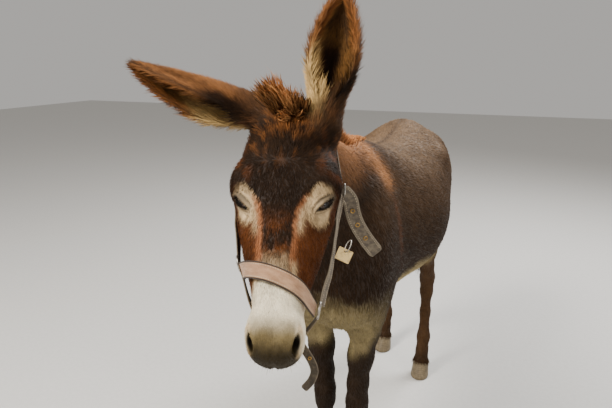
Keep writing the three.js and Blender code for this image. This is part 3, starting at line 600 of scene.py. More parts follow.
def in_chunks(field, p):
    out = np.empty(len(p), F)
    for i in range(0, len(p), CHUNK):
        out[i : i + CHUNK] = field(p[i : i + CHUNK])
    return out


def gradient(field, p, step=0.8):
    g = np.empty((len(p), 3), F)
    for axis in range(3):
        move = np.zeros(3, F)
        move[axis] = step
        g[:, axis] = (in_chunks(field, p + move) - in_chunks(field, p - move)) / (2 * step)
    return g


def settle(field, p, rounds, most):
    """Moves points onto the field's surface, by at most so far in each round."""
    p = np.asarray(p, F)
    for _ in range(rounds):
        g = gradient(field, p)
        step = (-in_chunks(field, p) / np.maximum((g * g).sum(1), 0.2))[:, None] * g
        far = np.linalg.norm(step, axis=1, keepdims=True)
        p = p + step * np.minimum(1, most / np.maximum(far, 1e-6))
    return p


# ---------------- the skin's net
def surface_net(field, low, high, step, coarse=5):
    """The quads of a field's surface on a grid, which is only evaluated finely near the surface."""
    low = np.array(low, float)
    blocks = np.ceil((np.array(high) - low) / (step * coarse)).astype(int)
    corners = np.indices(blocks + 1).reshape(3, -1).T
    rough = in_chunks(field, (low + corners * step * coarse).astype(F)).reshape(blocks + 1)
    close = np.abs(rough) < step * coarse * 1.9
    block = np.zeros(blocks, bool)
    for a, b, c in np.ndindex(2, 2, 2):
        block |= close[a : blocks[0] + a, b : blocks[1] + b, c : blocks[2] + c]
    size = blocks * coarse + 1
    value = np.full(size, FAR, F)
    value[:-1, :-1, :-1] = rough[:-1, :-1, :-1].repeat(coarse, 0).repeat(coarse, 1).repeat(coarse, 2)
    fine = block.repeat(coarse, 0).repeat(coarse, 1).repeat(coarse, 2)
    band = np.zeros(size, bool)
    for a, b, c in np.ndindex(2, 2, 2):
        band[a : size[0] - 1 + a, b : size[1] - 1 + b, c : size[2] - 1 + c] |= fine
    where = np.argwhere(band)
    value[band] = in_chunks(field, (low + where * step).astype(F))
    inside = value < 0
    count = np.zeros(size - 1, np.int8)
    for a, b, c in np.ndindex(2, 2, 2):
        count += inside[a : size[0] - 1 + a, b : size[1] - 1 + b, c : size[2] - 1 + c]
    cells = np.argwhere((count > 0) & (count < 8))
    number = np.full(size - 1, -1, np.int64)
    number[tuple(cells.T)] = np.arange(len(cells))
    total, hits = np.zeros((len(cells), 3)), np.zeros(len(cells))
    for corner in np.ndindex(2, 2, 2):
        for axis in range(3):
            if corner[axis]:
                continue
            other = list(corner)
            other[axis] = 1
            va, vb = value[tuple((cells + corner).T)], value[tuple((cells + other).T)]
            cross = (va < 0) != (vb < 0)
            spot = rows_of(np.array(corner, float), len(cells))
            spot[:, axis] += np.where(cross, va / np.where(cross, va - vb, 1), 0)
            total += spot * cross[:, None]
            hits += cross
    points = low + (cells + total / hits[:, None]) * step
    quads = []
    for axis in range(3):
        u, v = np.eye(3, dtype=int)[(axis + 1) % 3], np.eye(3, dtype=int)[(axis + 2) % 3]
        low_side = inside[tuple(slice(None, -1) if k == axis else slice(None) for k in range(3))]
        high_side = inside[tuple(slice(1, None) if k == axis else slice(None) for k in range(3))]
        edge = np.argwhere(low_side != high_side)
        outward = low_side[tuple(edge.T)]
        quad = np.stack([number[tuple((edge + k).T)] for k in (-u - v, -v, 0 * u, -u)], 1)
        quad[~outward] = quad[~outward][:, ::-1]
        quads.append(quad)
    return points, np.concatenate(quads)


def mesh_from(name, points, faces):
    """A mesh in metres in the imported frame; faces is an array, or a list of arrays, of vertex numbers."""
    groups = faces if isinstance(faces, list) else [faces]
    groups = [np.asarray(g, np.int32) for g in groups if len(g)]
    loops = np.concatenate([g.ravel() for g in groups])
    sizes = np.concatenate([np.full(len(g), g.shape[1], np.int32) for g in groups])
    mesh = bpy.data.meshes.new(name)
    mesh.vertices.add(len(points))
    mesh.vertices.foreach_set("co", ((np.asarray(points, float) + ORIGIN) / 1000).astype(F).ravel())
    mesh.loops.add(len(loops))
    mesh.loops.foreach_set("vertex_index", loops)
    mesh.polygons.add(len(sizes))
    mesh.polygons.foreach_set("loop_start", np.concatenate([[0], np.cumsum(sizes)[:-1]]).astype(np.int32))
    mesh.polygons.foreach_set("loop_total", sizes)
    mesh.update(calc_edges=True)
    mesh.validate()
    return mesh


def placed(name, data):
    """A new object in the scene."""
    made = bpy.data.objects.new(name, data)
    bpy.context.scene.collection.objects.link(made)
    return made


def piece(name, mesh, material, slot):
    """An object that rides on the donkey's one body."""
    mesh.name = name
    mesh.materials.clear()
    mesh.materials.append(material)
    mesh.polygons.foreach_set("use_smooth", np.ones(len(mesh.polygons), bool))
    made = placed(name, mesh)
    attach(made, "root")
    return made


def read(items, key, each=1, kind=np.int32):
    """A value of each item, as rows where there are several numbers to each."""
    flat = np.empty(len(items) * each, kind)
    items.foreach_get(key, flat)
    return flat.reshape(-1, each) if each > 1 else flat


def points_of(mesh):
    return read(mesh.vertices, "co", 3, F) * 1000 - ORIGIN


def set_points(mesh, points):
    mesh.vertices.foreach_set("co", ((points + ORIGIN) / 1000).astype(F).ravel())
    mesh.update()


def refine(mesh, wanted):
    """Splits each face whose middle is wanted into four."""
    work = bmesh.new()
    work.from_mesh(mesh)
    middles = np.array([face.calc_center_median() for face in work.faces]) * 1000 - ORIGIN
    edges = {edge for face, want in zip(work.faces, wanted(middles)) if want for edge in face.edges}
    bmesh.ops.subdivide_edges(work, edges=list(edges), cuts=1, use_grid_fill=True)
    work.to_mesh(mesh)
    work.free()


def near_head(p):
    table = OUTLINE.columns(np.asarray(p, F))
    return table[:, [HEAD_COLUMN, *EAR_COLUMNS.values()]].min(1) < 14


def near_detail(p):
    """Round the eyes, the nostrils and the mouth, which are finer still."""
    m = mirrored(to_head(np.asarray(p, F)))
    eye = length(to_eye(m)) < 46
    nostril = length(m - vec(*NOSTRIL["centre"])) < 30
    mouth = (np.abs(m[:, 2] - MOUTH_HEIGHT) < 12) & (m[:, 1] < -385) & (length(m) < 520)
    return eye | nostril | mouth


SKIN_BOX = ((-360, -1040, -10), (290, 700, 1480))  # what the net covers


def make_skin_mesh():
    """The skin as one net, which is finer over the head and finest round its details."""
    step = 5.0
    thick = Skin(thicker=0.6 * step)
    true = Skin()
    net, quads = surface_net(thick, *SKIN_BOX, step)
    mesh = mesh_from("skin", settle(thick, net, 1, 2.0), quads)
    refine(mesh, near_head)
    refine(mesh, near_detail)
    set_points(mesh, settle(true, points_of(mesh), 3, 3.0))
    return mesh


# ---------------- colours and markings
def colour(red, green, blue):
    """A linear colour from the 0 to 255 values that a screen shows."""
    c = np.array([red, green, blue], float) / 255
    return np.where(c <= 0.04045, c / 12.92, ((c + 0.055) / 1.055) ** 2.4)


DARK = colour(36, 23, 12)
BODY = colour(72, 53, 36)
# Paler hair on the back, brightened further as painted top light.
PALE_BACK_AND_TOP_LIGHT = colour(118, 93, 68)
CREST = colour(194, 134, 86)
RUSSET = colour(104, 57, 25)
CHEEK = colour(66, 35, 13)
BAR = colour(168, 108, 70)
CREAM = colour(204, 176, 134)
WHITE = colour(240, 226, 196)
GREY = colour(152, 130, 100)
OLIVE = colour(112, 94, 52)
MUZZLE_DARK = colour(50, 40, 20)
LEG = colour(36, 24, 13)
HIND_RED = colour(78, 54, 32)
BELLY = colour(168, 150, 106)
TICK = colour(140, 86, 42)
LID = colour(34, 26, 18)
# Painted shade for the folds round the lids.
FOLD_SHADE = colour(84, 74, 60)
EAR_BACK_COLOUR = colour(128, 84, 48)
EAR_DARK = colour(36, 21, 9)
FORELOCK_COLOUR = colour(146, 102, 62)
EAR_INNER = colour(100, 68, 32)
EAR_PALE = colour(200, 166, 108)
RIM = colour(132, 80, 40)


def blend(base, over, amount):
    """base, one colour or one for each row, covered with over by an amount for each row."""
    return base + (over - base) * np.clip(amount, 0, 1)[:, None]


def face_colour(q):
    """The face's markings at q, in the head's frame."""
    x, s, z = q[:, 0], -q[:, 1], q[:, 2]
    rough = 5 * noise(q, 14, 1) + 3 * noise(q, 5, 2)
    side = np.abs(x + 5)
    m = mirrored(q)
    top = ramp(-75, -30, z)
    # The red-brown cheeks.
    c = blend(DARK, CHEEK, ramp(140, 200, s + rough))
    c = blend(c, RUSSET, (0.36 + 0.35 * noise(q, 24, 11)) * ramp(200, 250, s) * top)
    # The pale ring round the eye, and the pale and tan bars beside the stripe.
    half = curve(s, (140, 165, 183, 206, 230, 263, 300), (90, 60, 44, 31, 26, 24, 24))
    spectacle = length((m - vec(66, -194, -6)) / vec(29, 40, 34)) + 0.025 * rough
    e = to_eye(m)
    shaded = ramp(-6, 14, e[:, 0]) * ramp(0, -11, e[:, 1])
    c = blend(c, CREAM, ramp(1.15, 0.7, spectacle) * (1 - 0.85 * shaded) * (0.85 + 0.3 * noise(q, 9, 16)))
    c = blend(c, CREAM, 0.7 * bump(side - half - 12, 7) * ramp(192, 215, s) * ramp(262, 235, s) * top)
    bar = (0.85 - 0.3 * (x > 0)) * bump(side - half - 4, 6) * ramp(172, 200, s) * ramp(335, 300, s) * top
    c = blend(c, BAR, bar)
    # The dark stripe down the face, flecked with brown.
    c = blend(c, DARK, ramp(4, -4, side - half + 0.6 * rough) * ramp(312, 286, s + rough))
    stripe = 0.8 * ramp(0, -10, side - half) * ramp(195, 255, s + rough) * ramp(-5, 1, rough)
    c = blend(c, CHEEK * 1.9, stripe)
    # The white muzzle, greyer where it meets the stripe, and its dark tip, lips and chin.
    edge = 312 + 0.9 * np.maximum(side - 15, 0) + 1.2 * rough
    c = blend(c, GREY, 0.85 * ramp(278, 308, s + rough) * ramp(30, 16, side + 0.5 * rough))
    c = blend(c, CREAM, 0.75 * bump(side - 31, 5) * ramp(292, 310, s))
    c = blend(c, WHITE * 0.93, ramp(edge, edge + 24, s))
    c = blend(c, RUSSET, 0.5 * bump(s - 352, 22) * bump(z + 48, 16) * ramp(30, 45, np.abs(x)))
    patch = ramp(380, 430, s + 0.6 * rough) * ramp(50, 34, np.abs(x + 2) + 0.4 * rough)
    c = blend(c, OLIVE * 0.85, 0.95 * patch * ramp(-100, -84, z))
    front = ramp(424, 456, s + 0.6 * rough) * ramp(50, 34, np.abs(x)) * ramp(-100, -80, z)
    c = blend(c, MUZZLE_DARK * 0.8, front)
    c = blend(c, GREY * 0.55, 0.85 * ramp(-88, -104, z) * ramp(360, 390, s))
    c = blend(c, BELLY * 0.7, 0.7 * ramp(-105, -135, z) * ramp(250, 290, s) * ramp(370, 350, s))
    # The dark forehead, with ticked hair over the poll.
    brow = ramp(170, 140, s + rough - 0.15 * np.maximum(x - 60, 0))
    c = blend(c, DARK, brow)
    poll = ramp(85, 25, s) * ramp(66, 30, np.abs(x))
    c = blend(c, TICK, 0.8 * poll * ramp(-0.3, 0.7, noise(q, 6, 3)))
    c = blend(c, TICK, 0.35 * ramp(160, 60, s) * ramp(0.1, 0.8, noise(q * vec(1, 0.4, 1), 7, 4)))
    c = blend(c, RUSSET, 0.5 * brow * ramp(50, 70, np.abs(x)) * ramp(0.0, 0.8, noise(q, 20, 12)))
    # The lids, with painted grey shade in the folds round them.
    upper, lower = lid_edges(e[:, 0])
    away = np.maximum(e[:, 1] - upper, lower - e[:, 1])
    near = ramp(0, 6, e[:, 2]) * ramp(32, 20, np.abs(e[:, 0]))
    c = blend(c, FOLD_SHADE, 0.7 * near * ramp(17, 5, away) * ramp(-14, 8, e[:, 1]) * ramp(-16, 4, e[:, 0]))
    c = blend(c, FOLD_SHADE, 0.5 * near * ramp(7, 3, away))
    c = blend(c, FOLD_SHADE * 0.7, 0.75 * near * bump(e[:, 1] - upper - 9, 2.8))
    c = blend(c, FOLD_SHADE, 0.6 * near * bump(e[:, 1] - lower + 7.5, 2.2))
    c = blend(c, LID, near * ramp(4.2, 1.8, away))
    # The nostrils, pale outside and darkened within by painted shade, and the line of the mouth, darkened by
    # painted shade in its groove.
    hole = nostril_distance(to_nostril(m))
    c = blend(c, CREAM * 0.9, 0.8 * bump(hole - 6, 4) * ramp(-4, 4, m[:, 0] - NOSTRIL["centre"][0]))
    # Painted shade inside the nostrils.
    c = blend(c, LID * 0.6, ramp(1.6, -1.6, hole))
    lips = lip_height(x, q[:, 1], z)
    # Painted shade along the groove where the lips meet.
    return blend(c, LID, bump(lips, 2.2) * ramp(372, 392, s) * 0.8)


def ear_colour(p, side):
    """The ear's colours: out for the back of its cup, within for the inside."""
    along, angle, away, radius, half = to_ear(p, side)
    inside = ramp(1.5, -1.5, away - radius)
    rough = 6 * noise(p, 16, 5) + 3 * noise(p, 6, 6)
    edge = (half - np.abs(angle)) * radius
    out = blend(EAR_BACK_COLOUR, EAR_DARK, 0.65 * ramp(80, 10, along + rough))
    out = blend(out, EAR_DARK, 0.5 * bump(edge - 20 + rough, 11) * ramp(60, 110, along))
    seam = ramp(120, 80, along + rough) * ramp(8, 30, along + rough)
    out = blend(out, EAR_DARK, seam * ramp(24, 8, edge + rough) * (angle < 0))
    out = blend(out, EAR_PALE, 0.9 * seam * ramp(40, 22, edge + rough) * (angle > 0))
    out = blend(out, EAR_DARK, 0.5 * ramp(235, 262, along + rough))
    # Painted shade deep in the ear's cup.
    deep = ramp(0.8, 0.3, np.abs(angle - 0.2)) * ramp(190, 130, along)
    within = blend(EAR_INNER, EAR_DARK * 0.6, deep)
    within = blend(within, EAR_DARK, 0.6 * ramp(-0.2, 0.8, noise(p, 11, 13)))
    within = blend(within, EAR_DARK * 0.8, 0.75 * ramp(150, 210, along + rough) * ramp(14, 26, edge))
    pale = ramp(46, 18, edge + rough) * ramp(170, 100, along + rough) * ramp(0, 0.2, angle)
    within = blend(within, EAR_PALE, pale)
    within = blend(within, RIM, 0.8 * ramp(15, 5, edge + 0.5 * rough) * ramp(90, 150, along))
    c = out + (within - out) * inside[:, None]
    return blend(c, LID, 0.75 * bump(edge - 1, 2.2))


def body_colour(p, normal):
    """Dark flanks, darkened further downward by painted shade, under a back of paler hair that painted top
    light brightens where the skin faces up; a tan crest on the withers, a painted highlight down the
    shoulder's edge, and a pale belly.
    """
    x, y, z = p.T
    rough = 14 * noise(p, 45, 7) + 6 * noise(p, 15, 8)
    # Painted shade: the flanks darken from the back downward.
    c = blend(BODY, DARK, 0.8 * ramp(950, 770, z + rough))
    # The back's paler hair, laid on most where the skin faces up: paler hair and painted top light together.
    saddle_and_top_light = ramp(0.35, 0.95, normal[:, 2]) * ramp(-260, -60, y) * ramp(880, 980, z + rough)
    c = blend(c, PALE_BACK_AND_TOP_LIGHT, (0.75 + 0.25 * noise(p, 30, 14)) * saddle_and_top_light)
    c = blend(c, DARK, 0.45 * bump(x - MIDLINE_X, 9) * ramp(900, 960, z) * ramp(-300, -200, y))
    c = blend(c, DARK, 0.6 * ramp(-120, -260, y) * ramp(1000, 820, z))
    cross = y + 338 - 0.22 * (1112 - z)
    c = blend(c, CREST, 0.85 * bump(cross - 10, 40) * ramp(960, 1040, z + rough))
    # A lighter russet line down the shoulder's edge: a painted highlight.
    c = blend(c, RUSSET, 0.4 * bump(cross - 8, 14) * ramp(1000, 930, z) * ramp(720, 860, z + rough))
    underside = ramp(-0.05, -0.45, normal[:, 2]) * ramp(-330, -230, y) * ramp(722, 662, z + 0.8 * rough)
    c = blend(c, BELLY, underside)
    breast = 0.85 * ramp(765, 700, z + rough) * ramp(-300, -380, y) * ramp(150, 90, np.abs(x - MIDLINE_X))
    c = blend(c, BELLY * 0.6, breast)
    inner = ramp(-0.1, 0.3, np.sign(MIDLINE_X - x) * normal[:, 0])
    return blend(c, BELLY * 0.85, 0.8 * ramp(220, 300, y) * inner * ramp(760, 640, z))


def leg_colour(p, normal):
    """Dark legs, redder behind and pale high up on the inside."""
    x, y, z = p.T
    rough = 12 * noise(p, 35, 15)
    c = blend(LEG, HIND_RED, 0.85 * ramp(100, 300, y))
    inner = ramp(0.0, 0.6, np.sign(MIDLINE_X - x) * normal[:, 0])
    pale = np.maximum(inner, 0.6 * ramp(-0.3, -0.8, normal[:, 1]))
    c = blend(c, BELLY, 0.85 * pale * ramp(505, 560, z + rough))
    return blend(c, DARK * 0.8, 0.6 * bump(z - 80, 45))


def coat_colour(p, normal, table):
    """The colour of skin and coat at points of the skin."""
    w = weights(table, 14)
    c = body_colour(p, normal)
    legs = w[:, list(LEG_COLUMNS.values())].sum(1)
    c = c + (leg_colour(p, normal) - c) * (legs * ramp(640, 540, p[:, 2]))[:, None]
    across, _, up = to_neck(p).T
    neck = w[:, NECK_COLUMN]
    c = blend(c, DARK * 0.9, 0.75 * neck)
    c = blend(c, RUSSET * 1.2, 0.85 * neck * bump(across, 26) * ramp(30, 75, up))
    withers = ramp(-700, -560, p[:, 1] + 20 * noise(p, 30, 17)) * ramp(-250, -330, p[:, 1])
    c = blend(c, CREST, 0.85 * withers * bump(across, 48) * ramp(1000, 1060, p[:, 2]))
    head = w[:, HEAD_COLUMN] + w[:, NAMES.index("ear_root_left")] + w[:, NAMES.index("ear_root_right")]
    head = ramp(0.35, 0.75, head)
    some = head > 0.01
    face = c.copy()
    face[some] = face_colour(to_head(p[some]))
    c = c + (face - c) * head[:, None]
    for side, column in EAR_COLUMNS.items():
        some = w[:, column] > 0.01
        part = ear_colour(p[some], side)
        c[some] = c[some] + (part - c[some]) * ramp(0.2, 0.8, w[some, column])[:, None]
        along, angle, away, radius, _ = to_ear(p, side)
        base = bump(along - 28, 38) * ramp(1.6, 1.25, away / radius)
        c = blend(c, EAR_PALE, 0.85 * base * bump(angle - 2.35, 0.55))
        c = blend(c, EAR_DARK, 0.8 * base * bump(angle + 2.35, 0.5))
    shade = 1 + 0.14 * noise(p, 30, 9) + 0.12 * noise(p, 9, 10)
    return np.clip(c * shade[:, None], DARKEST, PALEST)


# ---------------- the lie, length and density of the coat
def lie(p, normal, table):
    """The way the hair points at each place, along the skin."""
    w = weights(table, 20)
    x, y, _ = p.T
    down = rows_of(np.array([0, 0.25, -1.0]), len(p))
    side = np.sign(x - MIDLINE_X) * np.minimum(np.abs(x - MIDLINE_X) / 120, 1)
    trunk = np.column_stack([0.25 * side, np.ones(len(p)), -0.55 * ramp(-1.0, 0.4, normal[:, 2])])
    breast = ramp(-330, -420, y)[:, None]
    trunk = trunk * (1 - breast) + down * breast
    neck = rows_of(-NECK_LINE + np.array([0, 0, -0.7]), len(p))
    q = to_head(p)
    whorl = np.tanh((-q[:, 1] - 118) / 25)
    jaw = (ramp(45, 75, np.abs(q[:, 0])) * ramp(-20, -70, q[:, 2]))[:, None]
    face = np.column_stack([0.5 * q[:, 0] / 70, -whorl, -0.25 + 0 * x])
    face = (face * (1 - jaw) + np.array([0, 0.35, -0.9]) * jaw) @ HEAD.T
    way = np.zeros((len(p), 3))
    for i, name in enumerate(NAMES):
        kind = part_kind(name)
        if kind == "ear":
            field = rows_of(EAR_AXES[name[4:]][:, 2], len(p))
        else:
            field = {"trunk": trunk, "neck": neck, "leg": down, "head": face, "ear_root": face}[kind]
        way += w[:, i : i + 1] * field
    way -= normal * (way * normal).sum(1, keepdims=True)
    return unit(way)


# For each kind of part: tufts per square millimetre, their length, width and rise.
COAT = {
    "trunk": (0.031, 17, 3.0, 0.16),
    "neck": (0.052, 18, 2.6, 0.2),
    "leg": (0.075, 10, 2.0, 0.2),
    "head": (0.17, 9, 1.5, 0.26),
    "ear_root": (0.17, 13, 1.7, 0.35),
    "ear": (0.2, 13, 1.6, 0.42),
}


def coat_build(p, table):
    """Density, length, width and rise of the tufts at each place."""
    w = weights(table, 12)
    build = w @ np.array([COAT[part_kind(name)] for name in NAMES])
    density, long, wide, rise = build.T.copy()
    q = to_head(p)
    s = -q[:, 1]
    head = w[:, HEAD_COLUMN]
    # Short and dense on the muzzle, long on the poll.
    muzzle = head * ramp(300, 400, s)
    long *= 1 - 0.55 * muzzle
    wide *= 1 - 0.3 * muzzle
    density *= 1 + 0.25 * muzzle
    poll = ramp(150, 40, s) * ramp(0.3, 0.9, head + w[:, NECK_COLUMN]) * ramp(-120, -40, q[:, 2])
    long *= 1 + 0.7 * poll
    rise += 0.14 * poll
    m = mirrored(q)
    e = to_eye(m)
    # Short round the eyes, and none on the lids' edges or in the nostrils.
    eye = head * ramp(34, 20, length(e))
    long *= 1 - 0.6 * eye
    wide *= 1 - 0.4 * eye
    upper, lower = lid_edges(e[:, 0])
    gap = np.maximum(e[:, 1] - upper, lower - e[:, 1])
    bare = ramp(3.0, 1.5, gap) * ramp(24, 20, np.abs(e[:, 0])) * (e[:, 2] > 0)
    bare = np.maximum(bare, ramp(2.5, 0.5, nostril_distance(to_nostril(m))))
    density *= 1 - head * bare
    # Long over the coronets, and none on the hooves.
    for name, column in LEG_COLUMNS.items():
        part = w[:, column]
        coronet = part * bump(above_coronet(name, p) - 8, 14)
        long *= 1 + 0.9 * coronet
        density *= np.where(part > 0.5, above_coronet(name, p) > 1, 1)
    # Long along the ears' rims and low in their cups.
    for side, column in EAR_COLUMNS.items():
        some = w[:, column] > 0.3
        along, angle, away, radius, half = to_ear(p[some], side)
        edge = (half - np.abs(angle)) * radius
        rim = ramp(12, 3, edge)
        inside = ramp(1, -1, away - radius)
        fringe = 1 + 0.55 * rim + 0.9 * inside * ramp(150, 60, along)
        long[some] *= fringe * (1 - 0.35 * ramp(240, 280, along))
        rise[some] += 0.1 * rim + 0.12 * inside
    belly = ramp(620, 560, p[:, 2]) * w[:, 0]
    long *= 1 + 0.3 * belly
    return density, long, wide, rise


# ---------------- an unwrap of the skin's own shape
# Each part's tile of the map: left, low, width, height.
TILES = {
    "trunk": (0.01, 0.01, 0.48, 0.48),
    "neck": (0.51, 0.01, 0.23, 0.33),
    "head": (0.51, 0.36, 0.48, 0.5),
    "leg_front_left": (0.76, 0.01, 0.05, 0.33),
    "leg_front_right": (0.82, 0.01, 0.05, 0.33),
    "leg_hind_left": (0.88, 0.01, 0.05, 0.33),
    "leg_hind_right": (0.94, 0.01, 0.05, 0.33),
    "ear_left": (0.01, 0.51, 0.23, 0.4),
    "ear_right": (0.26, 0.51, 0.23, 0.4),
}
TILE_NAMES = list(TILES)
TRUNK_AXIS_Z = 830
SKULL_AXIS_Z = -80
# For each kind of tile: how far before zero its part starts, and its whole reach, in millimetres.
REACH = {"trunk": (590, 1310), "neck": (220, 800), "head": (60, 560), "leg": (0, 760), "ear": (40, 340)}


def tile_of(table):
    """The number of the tile that each point lies in."""
    lookup = [TILE_NAMES.index({"ear_root": "head"}.get(part_kind(name), name)) for name in NAMES]
    return np.array(lookup)[table.argmin(1)]


def unrolled(p, tile):
    """Turns round the part's axis, from -0.5 to 0.5, and place along it, from 0 to 1."""
    turn, along = np.zeros(len(p)), np.zeros(len(p))
    for i, name in enumerate(TILE_NAMES):
        some = tile == i
        if not some.any():
            continue
        x, y, z = p[some].T
        kind = part_kind(name)
        if kind == "trunk":
            a, b = x - MIDLINE_X, z - TRUNK_AXIS_Z
            far = y - 0.6 * np.hypot(a, b) * np.tanh((y - 50) / 150)
        elif kind == "neck":
            a, far, b = to_neck(p[some]).T
        elif kind == "head":
            a, place, b = to_head(p[some]).T
            b = b - SKULL_AXIS_Z
            far = -place - 0.6 * np.hypot(a, b) * np.tanh((-place - 200) / 80)
        elif kind == "leg":
            centres = np.array([centre for centre, _ in LEGS[name[4:]]])[::-1]
            a = x - np.interp(z, centres[:, 2], centres[:, 0])
            b = y - np.interp(z, centres[:, 2], centres[:, 1])
            far = z
        if kind == "ear":
            far, angle, away, radius, _ = to_ear(p[some], name[4:])
            turn[some] = np.clip(angle / math.tau, -0.48, 0.48) / 2 + np.where(away < radius, 0.25, -0.25)
        else:
            turn[some] = np.arctan2(a, b) / math.tau
        start, reach = REACH[kind]
        along[some] = (far + start) / reach
    return turn, along


def to_map(turn, along, tile):
    """The place on the map, just inside the tile's edges."""
    corner = np.array([TILES[name] for name in TILE_NAMES])[tile]
    u = corner[:, 0] + corner[:, 2] * (0.04 + 0.92 * (turn + 0.5))
    v = corner[:, 1] + corner[:, 3] * np.clip(along, 0.01, 0.99)
    return np.column_stack([u, v])


def add_map(mesh, uv):
    layer = mesh.uv_layers.new(name="OFBake")
    layer.uv.foreach_set("vector", np.asarray(uv, F).ravel())


def add_colours(mesh, values):
    layer = mesh.color_attributes.new(name="coat", type="FLOAT_COLOR", domain="POINT")
    layer.data.foreach_set("color", np.column_stack([values, np.ones(len(values))]).astype(F).ravel())


def loops_of(mesh):
    return read(mesh.loops, "vertex_index")


def unwrap_skin(mesh, points):
    """Lays each face in the tile of its middle, so that none is torn across a tile."""
    corners = loops_of(mesh)
    sizes = read(mesh.polygons, "loop_total")
    face = np.repeat(np.arange(len(sizes)), sizes)
    middles = np.zeros((len(sizes), 3))
    np.add.at(middles, face, points[corners])
    middles = (middles / sizes[:, None]).astype(F)
    tile = tile_of(OUTLINE.columns(middles))
    turn, _ = unrolled(middles, tile)
    own_turn, along = unrolled(points[corners], tile[face])
    own_turn = turn[face] + (own_turn - turn[face] + 0.5) % 1 - 0.5
    add_map(mesh, to_map(own_turn, along, tile[face]))


# ---------------- locks of hair as mesh
PATCH = 0.003  # how wide a lock's own patch is on the map


def make_locks(name, lines, normals, widths, colours, spots, material, slot):
    """Tapered locks, ridged along the middle, as one mesh.

    lines holds each lock's centre line from root to tip. normals, widths and spots hold, for each lock, the
    way its ridge faces, its width at the root and its place on the map. colours has one for each row.
    """
    count, rows = lines.shape[:2]
    along = unit(np.gradient(lines, axis=1))
    across = unit(np.cross(along, normals[:, None, :]))
    ridge = np.cross(across, along)
    share = np.linspace(0, 1, rows)[:-1]
    half = widths[:, None] / 2 * (1 - 0.55 * share**1.6)
    body = lines[:, :-1]
    left = body - across[:, :-1] * half[..., None]
    right = body + across[:, :-1] * half[..., None]
    top = body + ridge[:, :-1] * half[..., None] * 0.45
    rings = np.stack([left, top, right], 2).reshape(count, -1, 3)
    points = np.concatenate([rings, lines[:, -1:]], 1)
    each = points.shape[1]
    quads, tris = [], []
    for row in range(rows - 2):
        for k in (0, 1):
            a = 3 * row + k
            quads.append([a, a + 1, a + 4, a + 3])
    last = 3 * (rows - 2)
    for k in (0, 1):
        tris.append([last + k, last + k + 1, each - 1])
    start = (np.arange(count) * each)[:, None, None]
    faces = [(start + np.array(shape)[None]).reshape(-1, len(shape[0])) for shape in (quads, tris) if shape]
    mesh = mesh_from(name, points.reshape(-1, 3), faces)
    facing = np.repeat(normals[:, None, :], each, 1)
    lean = np.tile(np.array([-0.5, 0.0, 0.5]), rows - 1)
    facing[:, :-1] += np.repeat(across[:, :-1], 3, 1) * lean[None, :, None]
    shown = np.concatenate([np.repeat(colours[:, :-1], 3, 1), colours[:, -1:]], 1)
    add_colours(mesh, shown.reshape(-1, 3))
    inside = np.concatenate([
        np.column_stack([np.tile([-0.5, 0, 0.5], rows - 1), np.repeat(share - 0.5, 3)]),
        [[0, 0.5]],
    ])
    uv = (spots[:, None, :] + PATCH * inside[None]).reshape(-1, 2)
    add_map(mesh, uv[loops_of(mesh)])
    made = piece(name, mesh, material, slot)
    mesh.normals_split_custom_set_from_vertices(unit(facing.reshape(-1, 3)).astype(F))
    return made


def skin_values(mesh):
    """What the coat needs to know at each of the skin's points."""
    points = points_of(mesh)
    normals = read(mesh.vertices, "normal", 3, F).astype(float)
    table = OUTLINE.columns(points)
    density, long, wide, rise = coat_build(points, table)
    return {
        "point": points.astype(float),
        "normal": normals,
        "colour": coat_colour(points, normals, table),
        "way": lie(points, normals, table),
        "density": density[:, None],
        "build": np.column_stack([long, wide, rise]),
    }


def scatter(mesh, values, rng):
    """Roots spread over the skin by its density, with what skin_values holds read at each of them."""
    mesh.calc_loop_triangles()
    tris = read(mesh.loop_triangles, "vertices", 3)
    a, b, c = (values["point"][tris[:, k]] for k in range(3))
    area = np.linalg.norm(np.cross(b - a, c - a), axis=1) / 2
    hopes = area * values["density"][tris, 0].mean(1) * 1
    counts = np.floor(hopes + rng.random(len(hopes))).astype(int)
    chosen = np.repeat(tris, counts, axis=0)
    share = rng.random((len(chosen), 2))
    share = np.where(share.sum(1, keepdims=True) > 1, 1 - share, share)
    share = np.column_stack([share, 1 - share.sum(1)])
    mix = {key: (value[chosen] * share[..., None]).sum(1) for key, value in values.items()}
    mix["normal"], mix["way"] = unit(mix["normal"]), unit(mix["way"])
    return mix


def spots_on_map(roots):
    tile = tile_of(OUTLINE.columns(roots.astype(F)))
    turn, along = unrolled(roots.astype(F), tile)
    return to_map(turn, along, tile), tile


LOCK_ROWS = 3


def coat_locks(name, roots, spots, rng, material, slot):
    """Short overlapping tufts that lie along the skin."""
    count = len(roots["point"])
    long, wide, rise = roots["build"].T
    long = long * rng.uniform(0.7, 1.25, count)
    wide = wide * rng.uniform(0.7, 1.25, count)
    rise = rise * rng.uniform(0.5, 1.5, count)
    side = np.cross(roots["normal"], roots["way"])
    swerve = 0.22 * noise(roots["point"], 22, 21) + rng.normal(0, 0.16, count)
    way = unit(roots["way"] + side * swerve[:, None])
    share = np.linspace(0, 1, LOCK_ROWS)[None, :, None]
    lift = (rise * long)[:, None, None] * (1.35 * share - 0.35 * share**2)
    lines = roots["point"][:, None] - 0.6 * roots["normal"][:, None]
    lines = lines + way[:, None] * long[:, None, None] * share + roots["normal"][:, None] * lift
    clump = 1 + 0.22 * noise(roots["point"], 5, 22) + rng.normal(0, 0.1, count)
    tips = np.array([0.72, 1.0, 1.22])[None, :, None]
    colours = np.clip(roots["colour"][:, None] * clump[:, None, None] * tips, DARKEST, PALEST)
    return make_locks(name, lines, roots["normal"], wide, colours, spots, material, slot)


